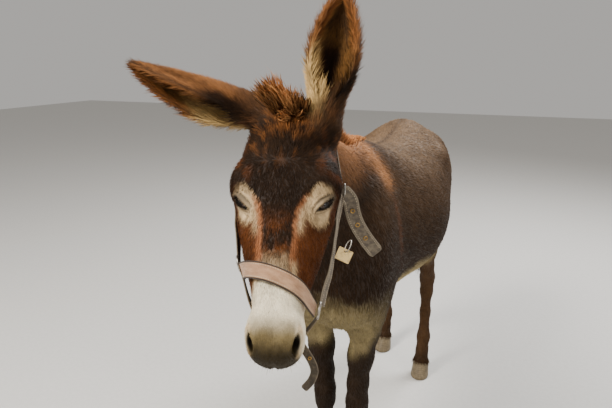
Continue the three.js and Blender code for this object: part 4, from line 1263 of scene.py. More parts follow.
def make_coat(mesh, values, material):
    """The whole coat, in pieces by part and side."""
    rng = np.random.default_rng(5)
    roots = scatter(mesh, values, rng)
    spots, tile = spots_on_map(roots["point"])
    names = np.array(TILE_NAMES)[tile]
    left = np.where(names == "head", to_head(roots["point"])[:, 0] > 0, roots["point"][:, 0] > MIDLINE_X)
    groups = {"coat_neck": names == "neck"}
    for side, here in (("left", left), ("right", ~left)):
        groups["coat_head_" + side] = (names == "head") & here
        groups["coat_trunk_" + side] = (names == "trunk") & here
        groups["coat_ear_" + side] = names == "ear_" + side
    for part in ("front", "hind"):
        groups["coat_legs_" + part] = np.char.startswith(names, "leg_" + part)
    for name, some in groups.items():
        slot = "ear_coat" if "ear_" in name else "face_coat" if "head" in name else "coat"
        chosen = {key: value[some] for key, value in roots.items()}
        coat_locks(name, chosen, spots[some], rng, material, slot)


# ---------------- long hair
def on_skin(field, start, way, steps=60):
    """Where a ray from inside the body meets the field's surface."""
    p = np.array(start, float)
    way = unit(way)
    for _ in range(steps):
        p = p - way * np.minimum(in_chunks(field, p.astype(F)), -0.02)[:, None] * 0.8
    return p


def long_locks(name, roots, ways, falls, long, wide, base, rng, material, slot, rows, curl=0.1, tip=1.5):
    """Long locks from roots: each starts off one way and bends toward another.

    curl is how far they wander, as a share of their length; tip is how bright they are at the tip.
    """
    count = len(roots)
    share = np.linspace(0, 1, rows)[None, :, None]
    ways, falls = unit(ways)[:, None], unit(falls)[:, None]
    path = unit(ways * (1 - share) + falls * share)
    steps = path[:, :-1] * (long / (rows - 1))[:, None, None]
    lines = roots[:, None] + np.concatenate([np.zeros((count, 1, 3)), np.cumsum(steps, 1)], 1)
    sway = rng.normal(0, 1, (count, 1, 3)) * long[:, None, None] * curl
    lines = lines + sway * share**1.5
    facing = unit(np.cross(ways[:, 0], rng.normal(0, 1, (count, 3))))
    shade = 1 + rng.normal(0, 0.16, (count, 1, 1))
    colours = np.clip(base[:, None] * shade * (0.7 + (tip - 0.7) * share**1.5), DARKEST, PALEST)
    spots, _ = spots_on_map(roots)
    return make_locks(name, lines, facing, wide, colours, spots, material, slot)


def make_mane(skin, material):
    """A short upright mane along the neck, leaning a little to the left and fading into the crest."""
    rng = np.random.default_rng(31)
    count = 5200
    along = rng.uniform(40, 520, count)
    across = rng.normal(0, 8, count)
    start = NECK_BASE + along[:, None] * NECK_LINE + across[:, None] * NECK_ACROSS
    roots = on_skin(skin, start, rows_of(NECK_UP, count))
    ways = NECK_UP + 0.016 * across[:, None] * NECK_ACROSS + rng.normal(0, 0.08, (count, 3))
    falls = ways + NECK_ACROSS * (0.45 + 0.3 * noise(roots, 60, 32)[:, None]) - NECK_LINE * 0.35
    taper = ramp(0, 260, along) * ramp(540, 470, along)
    long = (9 + 21 * taper) * rng.uniform(0.75, 1.15, count)
    base = blend(RUSSET * 1.25, BODY, 0.4 + 0.5 * noise(roots, 25, 33))
    base = blend(base, CREST, 0.8 * ramp(300, 180, along))
    base = blend(base, DARK, 0.6 * ramp(10, 3, np.abs(across)) * ramp(120, 260, along))
    wide = rng.uniform(1.6, 2.8, count)
    made = long_locks("mane_locks", roots, ways, falls, long, wide, base, rng, material, "mane_hair", 5)
    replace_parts(made, "mane")


# Tufts of the forelock, in the head's frame: the root's x and y, the tip, and how many locks.
FORELOCK_TUFTS = [
    (-26, 2, (-56, 8, 60), 110),
    (-18, -3, (-44, 4, 78), 150),
    (-8, 2, (-27, 8, 86), 150),
    (4, -3, (-9, 2, 64), 130),
    (14, 3, (10, 8, 46), 120),
    (25, 0, (27, 6, 34), 100),
    (-2, -14, (-10, -26, 26), 120),
    (16, -12, (22, -22, 22), 100),
]


def make_forelock(skin, material):
    """Upright tufts over the poll, each drawn to a point of its own."""
    rng = np.random.default_rng(41)
    roots, tips = [], []
    for x, y, tip, count in FORELOCK_TUFTS:
        count = count
        places = [rng.normal(x, 6, count), rng.normal(y, 6, count), np.full(count, -40)]
        start = from_head(np.column_stack(places))
        roots.append(on_skin(skin, start, rows_of(HEAD[:, 2], count)))
        tips.append(from_head(np.array(tip) + rng.normal(0, 1, (count, 3)) * [5, 5, 7]))
    roots, tips = np.concatenate(roots), np.concatenate(tips).astype(float)
    reach = tips - roots
    long = np.linalg.norm(reach, axis=1)
    count = len(roots)
    dark = 0.35 + 0.6 * noise(roots, 9, 42) + 0.5 * ramp(0, 22, to_head(roots)[:, 0])
    base = blend(FORELOCK_COLOUR, DARK * 1.3, dark)
    outward = reach / long[:, None] + rng.normal(0, 0.2, (count, 3))
    falls = 2 * reach / long[:, None] - outward
    wide = rng.uniform(1.6, 3.0, count)
    made = long_locks(
        "forelock_locks", roots, outward, falls, long, wide, base, rng, material, "mane_hair", 7, 0.06, 3.4
    )
    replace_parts(made, "forelock")


# The dock and its tuft: x, y, z, radius.
TAIL = [
    (-4, 540, 985, 24),
    (-4, 575, 972, 24),
    (-4, 604, 935, 22),
    (-4, 616, 880, 19),
    (-3, 618, 800, 17),
    (0, 614, 720, 17),
    (4, 610, 660, 21),
    (7, 608, 600, 27),
    (10, 610, 530, 29),
    (12, 612, 460, 24),
    (13, 614, 405, 15),
    (13, 615, 370, 5),
]
DOCK_END = 6  # the row where the dock's flesh ends
TUFT_START = DOCK_END - 2.2  # the place along the tail where its long hair starts


def tube(rows, sectors):
    """Points and faces of a round tube along rows of x, y, z, radius, closed at its ends."""
    centres, radii = rows[:, :3], rows[:, 3]
    along = unit(np.gradient(centres, axis=0))
    across = unit(np.array([1, 0, 0]) - along * along[:, :1])
    points = centres[:, None] + rings_of(across, np.cross(along, across), sectors) * radii[:, None, None]
    return points.reshape(-1, 3), tube_faces(len(rows), sectors)


def tail_at(place):
    """x, y, z and radius of the tail at places counted in its rows."""
    return interpolated(place, range(len(TAIL)), TAIL)


def make_tail(coat_material):
    """The dock as a tube with short hair, and a tuft of long hair from its lower part."""
    rng = np.random.default_rng(51)
    places = np.linspace(0, len(TAIL) - 1, 60)
    rows = tail_at(places)
    dock = rows[places <= DOCK_END]
    dock[:, 3] = np.minimum(dock[:, 3] - 5, 15)
    dock[-4:, 3] *= [0.9, 0.75, 0.5, 0.15]
    points, faces = tube(dock, 24)
    mesh = mesh_from("tail_dock", points, faces)
    add_colours(mesh, rows_of(DARK, len(points)))
    across = np.arctan2(points[:, 0] + 4, 560 - points[:, 1]) / 60
    add_map(mesh, np.column_stack([0.9 + across, 0.98 - points[:, 2] / 6000])[loops_of(mesh)])
    piece("tail_dock", mesh, coat_material, "tail_hair")
    count = 5200
    place = rng.uniform(0, DOCK_END, count)
    place[: count // 2] = rng.uniform(TUFT_START, DOCK_END, count // 2)
    centre = tail_at(place)[:, :3]
    angle = rng.uniform(0, math.tau, count)
    radial = np.column_stack([np.cos(angle), np.sin(angle), np.zeros(count)])
    roots = centre + radial * np.where(place < 2, 16, 12)[:, None]
    long = np.where(place < TUFT_START, 40 + 12 * place, rng.uniform(150, 290, count))
    long = np.minimum(long * rng.uniform(0.85, 1.1, count), roots[:, 2] - 372)
    ahead = tail_at(place + 0.4)[:, :3]
    ways = unit(ahead - centre) + radial * 0.22
    falls = np.array([0, 0, -1.0]) - radial * 0.1 + rng.normal(0, 0.03, (count, 3))
    base = blend(DARK, HIND_RED, 0.3 + 0.4 * noise(roots, 30, 52))
    wide = rng.uniform(2.0, 3.4, count)
    made = long_locks(
        "tail_locks", roots, ways, falls, long, wide, base, rng, coat_material, "tail_hair", 6, 0.02, 1.3
    )
    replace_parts(made, "tail")


def make_lashes(material):
    """Lashes along the upper lids, longer in the middle, and a few below."""
    rng = np.random.default_rng(61)
    each = 60
    roots, ways, falls, long = [], [], [], []
    for sign in (1, -1):
        for lid, turned, reach in ((0, -0.5, 11), (1, -0.8, 5)):
            x = rng.uniform(-0.85, 0.95, each) * LID_LENGTH
            up = lid_edges(x)[lid]
            out = np.sqrt(np.maximum(LID_RADIUS**2 - x**2 - up**2, 0)) + 0.6
            local = np.column_stack([x, up, out])
            aim = np.column_stack([x / 40, np.full(each, turned), np.full(each, 1.0)])
            aim += rng.normal(0, 0.1, (each, 3))
            flip = np.array([sign, 1, 1])
            roots.append(from_head((local @ EYE_AXES.T + EYE_CENTRE) * flip))
            ways.append((aim @ EYE_AXES.T * flip) @ HEAD.T)
            falls.append(((aim + [0, 0.5 if lid == 0 else -0.4, 0]) @ EYE_AXES.T * flip) @ HEAD.T)
            long.append(reach * rng.uniform(0.6, 1.1, each) * (1 - 0.4 * (x / LID_LENGTH) ** 2))
    roots, ways, falls = (np.concatenate(group) for group in (roots, ways, falls))
    long = np.concatenate(long)
    base = rows_of(LID * 0.6, len(roots))
    wide = np.full(len(roots), 0.8)
    long_locks("lashes", roots, ways, falls, long, wide, base, rng, material, "face_coat", 4, 0.03)


def make_whiskers(skin, material):
    """Thin stiff hairs on the lips and the chin."""
    rng = np.random.default_rng(71)
    count = 160
    x = rng.uniform(-42, 42, count)
    s = rng.uniform(395, 462, count)
    start = from_head(np.column_stack([0.4 * x, -0.9 * s, np.full(count, -75)]))
    droop = -0.7 * np.ones(count) + 0.3 * rng.random(count)
    outward = np.column_stack([x / 40, -0.4 - (s - 395) / 90, droop])
    ways = outward @ HEAD.T
    roots = on_skin(skin, start, ways)
    base = blend(GREY, LID, rng.random(count))
    falls = ways + np.array([0, 0, -0.4])
    long = rng.uniform(8, 22, count)
    wide = np.full(count, 0.6)
    long_locks("whiskers", roots, ways, falls, long, wide, base, rng, material, "face_coat", 4, 0.03)


# ---------------- materials
def rgba(c):
    return (*[float(v) for v in c], 1.0)


class Look:
    """A principled material that is built up node by node; it takes a colour as an array of three numbers."""

    def __init__(self, name, roughness, **sockets):
        self.material = bpy.data.materials.new(name)
        self.material.use_nodes = True
        self.tree = self.material.node_tree
        self.shader = self.tree.nodes["Principled BSDF"]
        self.shader.inputs["Roughness"].default_value = roughness
        for key, value in sockets.items():
            self.shader.inputs[key.replace("_", " ")].default_value = value

    def put(self, socket, value):
        if isinstance(value, bpy.types.NodeSocket):
            self.tree.links.new(value, socket)
        else:
            socket.default_value = rgba(value) if isinstance(value, np.ndarray) else value

    def add(self, kind, inputs=(), **settings):
        node = self.tree.nodes.new("ShaderNode" + kind)
        for key, value in settings.items():
            setattr(node, key, value)
        for key, value in dict(inputs).items():
            self.put(node.inputs[key], value)
        return node

    def attribute(self):
        return self.add("Attribute", attribute_name="coat").outputs["Color"]

    def place(self, scale=(1, 1, 1), uv=None):
        """Object coordinates, or those of a UV map in millimetres, stretched by scale."""
        if uv:
            source = self.add("UVMap", uv_map=uv).outputs["UV"]
        else:
            source = self.add("TexCoord").outputs["Object"]
        return self.add("Mapping", {"Vector": source, "Scale": scale}).outputs["Vector"]

    def noise(self, scale, detail, stretch=(1, 1, 1), uv=None):
        inputs = {"Vector": self.place(stretch, uv), "Scale": scale, "Detail": detail, "Roughness": 0.55}
        return self.add("TexNoise", inputs).outputs["Fac"]

    def range(self, value, low, high, to_low=0.0, to_high=1.0):
        inputs = {"Value": value, "From Min": low, "From Max": high, "To Min": to_low, "To Max": to_high}
        return self.add("MapRange", inputs).outputs["Result"]

    def mix(self, amount, a, b, kind="MIX"):
        node = self.add("Mix", data_type="RGBA", blend_type=kind)
        for socket, value in zip((node.inputs[0], node.inputs[6], node.inputs[7]), (amount, a, b)):
            self.put(socket, value)
        return node.outputs[2]

    def grey(self, value):
        return self.add("CombineColor", {"Red": value, "Green": value, "Blue": value}).outputs["Color"]

    def shaded(self, base, value, low, high, dark, light):
        """base times a grey that goes from dark to light as the value goes from low to high."""
        return self.mix(1.0, base, self.grey(self.range(value, low, high, dark, light)), "MULTIPLY")

    def maths(self, kind, a, b=0.5):
        node = self.add("Math", operation=kind)
        self.put(node.inputs[0], a)
        self.put(node.inputs[1], b)
        return node.outputs[0]

    def sum(self, a, b, share):
        return self.maths("ADD", a, self.maths("MULTIPLY", b, share))

    def finish(self, base, height=None, strength=0.5, depth=0.001, roughness=None):
        self.put(self.shader.inputs["Base Color"], base)
        if height is not None:
            inputs = {"Height": height, "Strength": strength, "Distance": depth}
            self.put(self.shader.inputs["Normal"], self.add("Bump", inputs).outputs["Normal"])
        if roughness is not None:
            self.put(self.shader.inputs["Roughness"], roughness)
        return self.material


def fur_look(name, roughness, size, strength):
    """Hair in the colours of the mesh, with fine streaks and clumps."""
    look = Look(name, roughness, Specular_IOR_Level=0.08)
    fine = look.noise(1 / size, 3.0)
    broad = look.noise(0.12 / size, 2.0)
    base = look.shaded(look.attribute(), fine, 0.25, 0.75, 0.72, 1.25)
    base = look.shaded(base, broad, 0.3, 0.7, 0.88, 1.1)
    rough = look.range(broad, 0.3, 0.7, roughness - 0.08, roughness + 0.08)
    return look.finish(base, fine, strength, 0.0012, rough)


def skin_look():
    look = Look("skin", 0.7, Specular_IOR_Level=0.2)
    pores = look.noise(900, 3.0)
    cracks = look.add("TexVoronoi", {"Vector": look.place(), "Scale": 420.0}).outputs["Distance"]
    base = look.shaded(look.attribute(), pores, 0.25, 0.75, 0.75, 1.15)
    height = look.sum(pores, cracks, 0.7)
    return look.finish(base, height, 0.55, 0.0009, look.range(pores, 0.3, 0.7, 0.5, 0.8))


def eye_look():
    look = Look("eye", 0.06, Specular_IOR_Level=0.6, Coat_Weight=0.8, Coat_Roughness=0.02)
    streaks = look.noise(700, 3.0)
    base = look.shaded(look.attribute(), streaks, 0.3, 0.7, 0.7, 1.3)
    return look.finish(base, look.noise(160, 1.0), 0.05, 0.0003)


def horn_look():
    look = Look("horn", 0.5, Specular_IOR_Level=0.4)
    streaks = look.noise(260, 4.0, (1, 1, 0.12))
    chips = look.noise(90, 3.0)
    base = look.shaded(look.attribute(), streaks, 0.3, 0.7, 0.62, 1.3)
    base = look.mix(look.range(chips, 0.58, 0.75, 0.0, 0.6), base, colour(112, 96, 78))
    height = look.sum(streaks, chips, 0.8)
    return look.finish(base, height, 0.5, 0.0012, look.range(chips, 0.3, 0.7, 0.38, 0.68))


WARP, WEFT = 0.55, 0.8  # the spacing of a strap's threads, in millimetres


def webbing_look(name, base, faded, edge):
    """Woven strap: the UV map holds millimetres across and along, for the weave and the dark piping."""
    look = Look(name, 0.85, Specular_IOR_Level=0.25, Sheen_Weight=0.2, Sheen_Roughness=0.5)
    u, v, _ = look.add("SeparateXYZ", {"Vector": look.place((1, 1, 1), "strap")}).outputs
    across = look.maths("SINE", look.maths("MULTIPLY", u, math.tau / WARP))
    along = look.maths("SINE", look.maths("MULTIPLY", v, math.tau / WEFT))
    weave = look.maths("MULTIPLY", across, along)
    wear = look.noise(0.09, 4.0, (1, 0.3, 1), "strap")
    stain = look.noise(0.03, 3.0, (1, 1, 1), "strap")
    cloth = look.mix(look.range(wear, 0.35, 0.7), base, faded)
    cloth = look.mix(look.range(weave, -1, 1, 0.0, 0.25), cloth, base * 0.45)
    cloth = look.mix(look.range(stain, 0.52, 0.72, 0.0, 0.55), cloth, base * 0.5)
    cloth = look.mix(look.attribute(), cloth, edge)
    return look.finish(cloth, look.sum(weave, wear, 1.5), 0.5, 0.0005)


def leather_look(name, base, worn, roughness):
    """Leather with a pebbled grain, creases across it, and pale worn edges."""
    look = Look(name, roughness, Specular_IOR_Level=0.4)
    grain = look.add("TexVoronoi", {"Vector": look.place(), "Scale": 800.0}).outputs["Distance"]
    creases = look.noise(0.25, 3.0, (0.25, 1.6, 1), "strap")
    wear = look.noise(110, 4.0)
    hide = look.mix(look.range(wear, 0.42, 0.7, 0.0, 0.8), base, worn)
    hide = look.mix(look.range(grain, 0.0, 0.4, 0.5, 0.0), hide, base * 0.45)
    hide = look.mix(look.attribute(), hide, worn)
    height = look.sum(grain, creases, 1.6)
    rough = look.range(wear, 0.3, 0.7, roughness - 0.12, roughness + 0.1)
    return look.finish(hide, height, 0.55, 0.0007, rough)


def metal_look(name, base, tarnish, roughness):
    look = Look(name, roughness, Metallic=1.0)
    marks = look.noise(420, 4.0)
    patches = look.noise(120, 3.0)
    face = look.mix(look.range(patches, 0.45, 0.7), base, tarnish)
    rough = look.range(marks, 0.3, 0.7, roughness - 0.08, roughness + 0.22)
    return look.finish(face, marks, 0.25, 0.0004, rough)


def plastic_look():
    look = Look("tag_plastic", 0.5, Specular_IOR_Level=0.45)
    grime = look.noise(140, 4.0)
    marks = look.noise(900, 2.0, (1, 0.2, 1))
    face = look.mix(look.range(grime, 0.48, 0.72, 0.0, 0.55), colour(196, 168, 112), colour(110, 88, 52))
    face = look.mix(look.range(marks, 0.55, 0.8, 0.0, 0.35), face, colour(228, 216, 182))
    return look.finish(face, marks, 0.3, 0.0004, look.range(grime, 0.3, 0.7, 0.38, 0.62))


def floor_look():
    look = Look("floor", 0.85, Specular_IOR_Level=0.2)
    grain = look.noise(60, 3.0)
    base = look.mix(look.range(grain, 0.3, 0.7), colour(206, 204, 200), colour(212, 210, 206))
    return look.finish(base, grain, 0.1, 0.0005)


# ---------------- small smooth meshes
def turns(count):
    """Angles spaced evenly round a circle."""
    return math.tau * np.arange(count) / count


def rings_of(a, b, sectors):
    """A unit circle in the plane of each pair of rows of a and b."""
    angle = turns(sectors)[None, :, None]
    return a[:, None] * np.cos(angle) + b[:, None] * np.sin(angle)


def interpolated(places, stops, rows):
    """Each column of rows, which lie at the stops, read at the places."""
    return np.stack([np.interp(places, stops, column) for column in np.transpose(rows)], -1)


def distances(path):
    """How far along a path each of its points is."""
    return np.concatenate([[0], np.cumsum(np.linalg.norm(np.diff(path, axis=0), axis=1))])


def grid_faces(rows, columns, closed=False):
    """Quads between rings of points, and from the last ring to the first where closed."""
    i, j = np.meshgrid(np.arange(rows if closed else rows - 1), np.arange(columns), indexing="ij")
    up, on = (i + 1) % rows, (j + 1) % columns
    corners = [i * columns + j, i * columns + on, up * columns + on, up * columns + j]
    return np.stack(corners, -1).reshape(-1, 4)


def tube_faces(rows, columns, flip=False):
    """Quads between rings of points and a face over each end, all turned round by flip."""
    ring = np.arange(columns)[None]
    faces = [grid_faces(rows, columns), ring[:, ::-1], (rows - 1) * columns + ring]
    return [face[:, ::-1] for face in faces] if flip else faces


def plain(name, points, faces, material, slot, shades=0.0, uv=None):
    """A piece whose coat attribute holds shades, with a strap map where uv gives a place for each point."""
    mesh = mesh_from(name, points, faces)
    shades = np.broadcast_to(np.asarray(shades, float).reshape(-1, 1), (len(points), 1)) * np.ones(3)
    add_colours(mesh, shades)
    if uv is not None:
        layer = mesh.uv_layers.new(name="strap")
        layer.data.foreach_set("uv", uv[loops_of(mesh)].astype(F).ravel())
    return piece(name, mesh, material, slot)


def spline(points, per):
    """A smooth curve through the points, with per steps in each span."""
    p = np.array(points, float)
    p = np.concatenate([[2 * p[0] - p[1]], p, [2 * p[-1] - p[-2]]])
    knots = np.concatenate([[0], np.cumsum(np.linalg.norm(np.diff(p, axis=0), axis=1) ** 0.5)])
    parts = []
    for i in range(1, len(p) - 2):
        p0, p1, p2, p3 = p[i - 1 : i + 3]
        a, b, c = np.diff(knots[i - 1 : i + 3])
        m1 = b * ((p1 - p0) / a - (p2 - p0) / (a + b) + (p2 - p1) / b)
        m2 = b * ((p2 - p1) / b - (p3 - p1) / (b + c) + (p3 - p2) / c)
        t = np.linspace(0, 1, per, endpoint=False)[:, None]
        parts.append(p1 + m1 * t + (3 * (p2 - p1) - 2 * m1 - m2) * t**2 + (2 * (p1 - p2) + m1 + m2) * t**3)
    return np.concatenate([*parts, p[-2:-1]])


def torus_points(seat, radius, wire, around=40, sectors=14):
    """A ring about the seat's z axis; seat is (place, axes as columns)."""
    place, axes = seat
    a, b = turns(around), turns(sectors)
    out = radius + wire * np.cos(b)
    x, y = np.cos(a)[:, None] * out, np.sin(a)[:, None] * out
    z = rows_of(wire * np.sin(b), around)
    points = np.stack([x, y, z], -1).reshape(-1, 3)
    return points @ np.array(axes).T + place, grid_faces(around, sectors, True)[:, ::-1]


def joined(shapes):
    """Several (points, list of faces) as one."""
    points, faces, start = [], [], 0
    for p, groups in shapes:
        points.append(p)
        faces += [np.asarray(g) + start for g in (groups if isinstance(groups, list) else [groups])]
        start += len(p)
    return np.concatenate(points), faces


# ---------------- eyes and hooves
def make_eye(side, material):
    """A wet dark ball: an iris with fine rays, and a pupil that is long along the slit."""
    rings, sectors = ((90, 128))
    polar = np.pi * (np.arange(rings) + 0.5) / rings
    turn = turns(sectors)
    out = np.cos(polar)[:, None] * np.ones(sectors)
    x, y = np.sin(polar)[:, None] * np.cos(turn), np.sin(polar)[:, None] * np.sin(turn)
    bulge = 1 + 0.03 * np.exp(-((polar / 0.5) ** 4))[:, None]
    local = (np.stack([x, y, out], -1) * (EYE_RADIUS * bulge)[..., None]).reshape(-1, 3)
    mid = np.hypot(x, y).ravel()
    rays = noise(np.column_stack([6 * np.cos(turn), 6 * np.sin(turn), 0 * turn]).repeat(rings, 0), 0.9, 81)
    rays = rays.reshape(sectors, rings).T.ravel()
    iris = blend(colour(58, 32, 15), colour(104, 62, 28), 0.45 + 0.5 * rays)
    iris = blend(iris, colour(20, 12, 8), ramp(0.5, 0.64, mid))
    white = blend(iris, colour(86, 62, 46), ramp(0.66, 0.74, mid) * 0.8)
    pupil = np.hypot(x.ravel() / 0.36, y.ravel() / 0.2)
    shown = blend(white, colour(6, 5, 5), ramp(1.12, 0.92, pupil) * (local[:, 2] > 0))
    sign = 1 if side == "left" else -1
    points = from_head((local @ EYE_AXES.T.astype(float) + EYE_CENTRE) * [sign, 1, 1])
    name = "eyeball_" + side
    mesh = mesh_from(name, points, tube_faces(rings, sectors, side == "left"))
    add_colours(mesh, shown)
    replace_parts(piece(name, mesh, material, "eye"), "eye_" + side)


GROWTH_RING, FINE_RING = 7, 3.1  # the spacing of a hoof's growth rings, in millimetres


def make_hoof(name, material):
    """The hoof's wall, with growth rings, a worn edge, and its top on the sloping coronet inside the hair."""
    x, y, _ = LEGS[name][-1][0]
    field = leg_distance(name)
    levels, sectors = 44, 96
    turn = turns(sectors)
    spoke = np.column_stack([np.cos(turn), np.sin(turn), 0 * turn])

    def cast(height):
        centre = np.column_stack([np.full(sectors, x), y - 14 * (1 - height / HOOF_HEIGHT), height])
        near, far = np.zeros(sectors), np.full(sectors, 120.0)
        for _ in range(24):
            middle = (near + far) / 2
            inside = field((centre + spoke * middle[:, None]).astype(F)) < 0
            near, far = np.where(inside, middle, near), np.where(inside, far, middle)
        return centre, near

    centre, radius = cast(np.full(sectors, float(HOOF_HEIGHT)))
    top = HOOF_HEIGHT - CORONET_SLOPE * (centre[:, 1] + spoke[:, 1] * radius - y)
    rows, shades = [], []
    for share in np.linspace(0, 1, levels):
        height = top * share
        centre, radius = cast(height)
        rings = 0.5 * np.sin(math.tau * height / GROWTH_RING + 0.5 * np.sin(3 * turn))
        rings = rings + 0.25 * np.sin(math.tau * height / FINE_RING)
        radius = radius - 0.6 + rings * ramp(0, 0.1, share) * ramp(1, 0.9, share)
        radius = radius - 2.0 * ramp(4, 0, height) - 1.5 * ramp(0.93, 1.0, share)
        point = centre + spoke * radius[:, None]
        point[:, 2] = height
        rows.append(point)
        shade = 1 + 0.35 * rings + 0.3 * noise(point, 12, 91) - 0.3 * ramp(12, 0, height)
        shades.append(shade)
    inner = [row.mean(0) + (row - row.mean(0)) * 0.5 for row in (rows[0], rows[-1])]
    inner[0][:, 2] = 0
    rows = [inner[0], *rows, inner[1]]
    shades = [shades[0], *shades, shades[-1]]
    mesh = mesh_from("horn_" + name, np.concatenate(rows), tube_faces(len(rows), sectors))
    base = colour(112, 98, 74)
    add_colours(mesh, np.clip(base * np.concatenate(shades)[:, None], 0.01, 0.9))
    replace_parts(piece("horn_" + name, mesh, material, "hoof_horn"), "hoof_" + name)


# ---------------- the halter
WEBBING = 3  # how thick a strap is
AXIS_DEPTH = -72  # the height in the head of the axis that the straps go round
RING_RADIUS = 14
RING_WIRE = 2.2
LOOSE_FACING = unit([0.08, -0.467, 0.88])
# Straps that lie on the head, by stations of (s, angle round the head, lift off the coat), with their width.
STRAPS = {
    "halter_noseband": ([(296, 182, 4), (308, 150, 3), (330, 92, 3), (357, 35, 4), (366, 8, 14)], 30),
    "halter_cheek_left": ([(352, 2, 24), (300, 2, 19), (246, 0, 12), (190, -3, 4), (134, -4, 3)], 20),
    "halter_cheek_right": ([(282, 172, 6), (240, 177, 3), (190, 183, 3), (134, 184, 3)], 20),
    "halter_crown": (
        [(118, -6, 3), (70, -9, 3), (20, -6, 3), (-26, 14, 3), (-52, 50, 3), (-60, 90, 3)]
        + [(-52, 130, 3), (-26, 166, 3), (20, 186, 3), (70, 189, 3), (118, 186, 3)],
        22,
    ),
    "halter_jaw_strap": ([(140, -20, 3), (152, -50, 3), (166, -90, 3), (152, -130, 3), (140, -160, 3)], 18),
    "halter_chin_strap": (
        [(372, -6, 20), (400, -36, 6), (400, -90, 3), (372, -140, 4), (338, -172, 6), (296, -186, 6)],
        14,
    ),
}
TURNED = {"halter_cheek_left": 24}  # degrees that a strap is turned toward the front
RINGS = {"left": (362, 2, 22), "right": (286, 172, 8)}
BUCKLES = {"left": (126, -5, 7), "right": (126, 185, 7)}
LOOSE_END = [
    (100, -124, -78),
    (109, -130, -86),
    (118, -138, -96),
    (123, -154, -111),
    (131, -170, -128),
    (149, -190, -153),
    (173, -209, -182),
]
CHIN_END = [
    (33, -408, -117),
    (46, -424, -124),
    (58, -441, -133),
    (62, -454, -140),
    (57, -468, -147),
    (44, -482, -153),
]
EYELETS = (0.318, 0.513, 0.724)  # shares of the loose end's length
CHIN_EYELET = 0.36
EYELET_RADIUS, CHIN_EYELET_RADIUS, EYELET_WIRE = 3.8, 2.4, 1.0
LOOSE_WIDTH, CHIN_WIDTH = 30, 14
STITCH_PITCH, STITCH_INSET = 4.2, 4.4
BUCKLE = {"width": 27, "height": 21, "corner": 5, "wire": 1.6, "tongue_wire": 1.1}
BUCKLE_TONGUE = [(-2, 0, 1.6), (1, 0, 4.6), (8, 0, 4.2), (11, 0, 3.4)]
TAG = {"at": (109, -268, -58), "width": 29, "height": 25, "thickness": 2.4, "tilt": -21, "hole": 2.6}
HOOK = {"length": 22, "width": 11, "wire": 1}


def on_head(stations):
    """Places over the coat and their outward normals, from stations of (s, angle, lift)."""
    s, degrees, lift = np.atleast_2d(np.array(stations, float)).T
    angle = np.radians(degrees)
    centre = from_head(np.column_stack([0 * s, -s, 0 * s + AXIS_DEPTH])).astype(float)
    direction = np.column_stack([np.cos(angle), 0 * s, np.sin(angle)]) @ HEAD.T
    point = on_skin(outline, centre, direction, 40)
    normal = unit(gradient(outline, point.astype(F), 5.0))
    return point + normal * lift[:, None], normal


def strap_axes(places, normals):
    """Unit vectors along a strap, across it and out of it, at each of its places."""
    along = unit(np.gradient(places, axis=0))
    across = unit(np.cross(normals, along))
    return along, across, np.cross(along, across)


def band_shape(places, normals, width, thickness, piping=0.0, ends=1.0):
    """A flat strap with rounded edges: its points, faces, strap map and nearness to an edge.

    Each end narrows within its last few millimetres when ends is above 0.
    """
    half = np.array([0.0, 0.35, 0.62, 0.78, 0.83, 0.87, 0.91, 0.95, 0.98, 1.0])
    around = np.concatenate([-half[:0:-1], half])
    over = 1 - np.abs(around) ** 14
    top = np.column_stack([around, 0.5 + 0.5 * over + piping * bump(np.abs(around) - 0.91, 0.05)])
    under = np.column_stack([around[::-1][1:-1], 0.5 - 0.5 * over[::-1][1:-1]])
    profile = np.concatenate([top, under])
    _, across, rise = strap_axes(places, normals)
    far = distances(places)
    end = np.minimum(far, far[-1] - far)
    narrow = 1 - ends * 0.5 * ramp(0.28 * width, 0, end) ** 2
    aside = across[:, None] * (profile[:, 0] * 0.5 * width)[None, :, None] * narrow[:, None, None]
    points = places[:, None] + aside + rise[:, None] * (profile[:, 1] * thickness)[None, :, None]
    faces = tube_faces(len(places), len(profile), True)
    uv = np.stack(np.broadcast_arrays(profile[:, 0] * width / 2, far[:, None]), -1).reshape(-1, 2)
    edge = np.tile(ramp(0.77, 0.83, np.abs(profile[:, 0])), len(places))
    return points.reshape(-1, 3), faces, uv, edge


def stitches(places, normals, width, height):
    """Short rounded threads in two rows along a strap's edges: points, faces and strap map."""
    along, across, rise = strap_axes(places, normals)
    far = distances(places)
    stops = np.arange(STITCH_PITCH, far[-1] - STITCH_PITCH, STITCH_PITCH)
    row = width / 2 - STITCH_INSET
    corner = np.array(
        [[-1, 0, 0], [-0.5, -1, 0.2], [-0.5, 1, 0.2], [0, 0, 1.2], [0.5, -1, 0.2], [0.5, 1, 0.2], [1, 0, 0]]
    )
    faces = np.array([[0, 1, 3], [0, 3, 2], [1, 4, 3], [3, 5, 2], [3, 4, 6], [3, 6, 5]])
    shapes, marks = [], []
    for side in (-1, 1):
        for stop in stops:
            marks.append(rows_of([side * row, stop], len(corner)))
            at, a, n, r = (interpolated(stop, far, table) for table in (places, across, along, rise))
            middle = at + a * side * row + r * height
            shapes.append((middle + corner @ np.array([n * STITCH_PITCH * 0.36, a * 0.5, r * 0.5]), faces))
    return (*joined(shapes), np.concatenate(marks))


def lay_band(name, places, normals, width, material, slot, thread, piping=0.0, ends=0.0):
    points, faces, uv, edge = band_shape(places, normals, width, WEBBING, piping, ends)
    made = plain(name + "_band", points, faces, material, slot, edge if piping else edge * 0.7, uv)
    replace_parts(made, name)
    points, faces, uv = stitches(places, normals, width, WEBBING + 0.1)
    plain(name + "_stitches", points, faces, thread, slot, 0.0, uv)


def seat_on_head(station):
    """The place of a (s, angle, lift) station, with axes across the head, along it and out of the coat."""
    point, normal = (v[0] for v in on_head([station]))
    across = unit(np.cross(HEAD[:, 1], normal))
    return point, np.column_stack([across, np.cross(normal, across), normal])


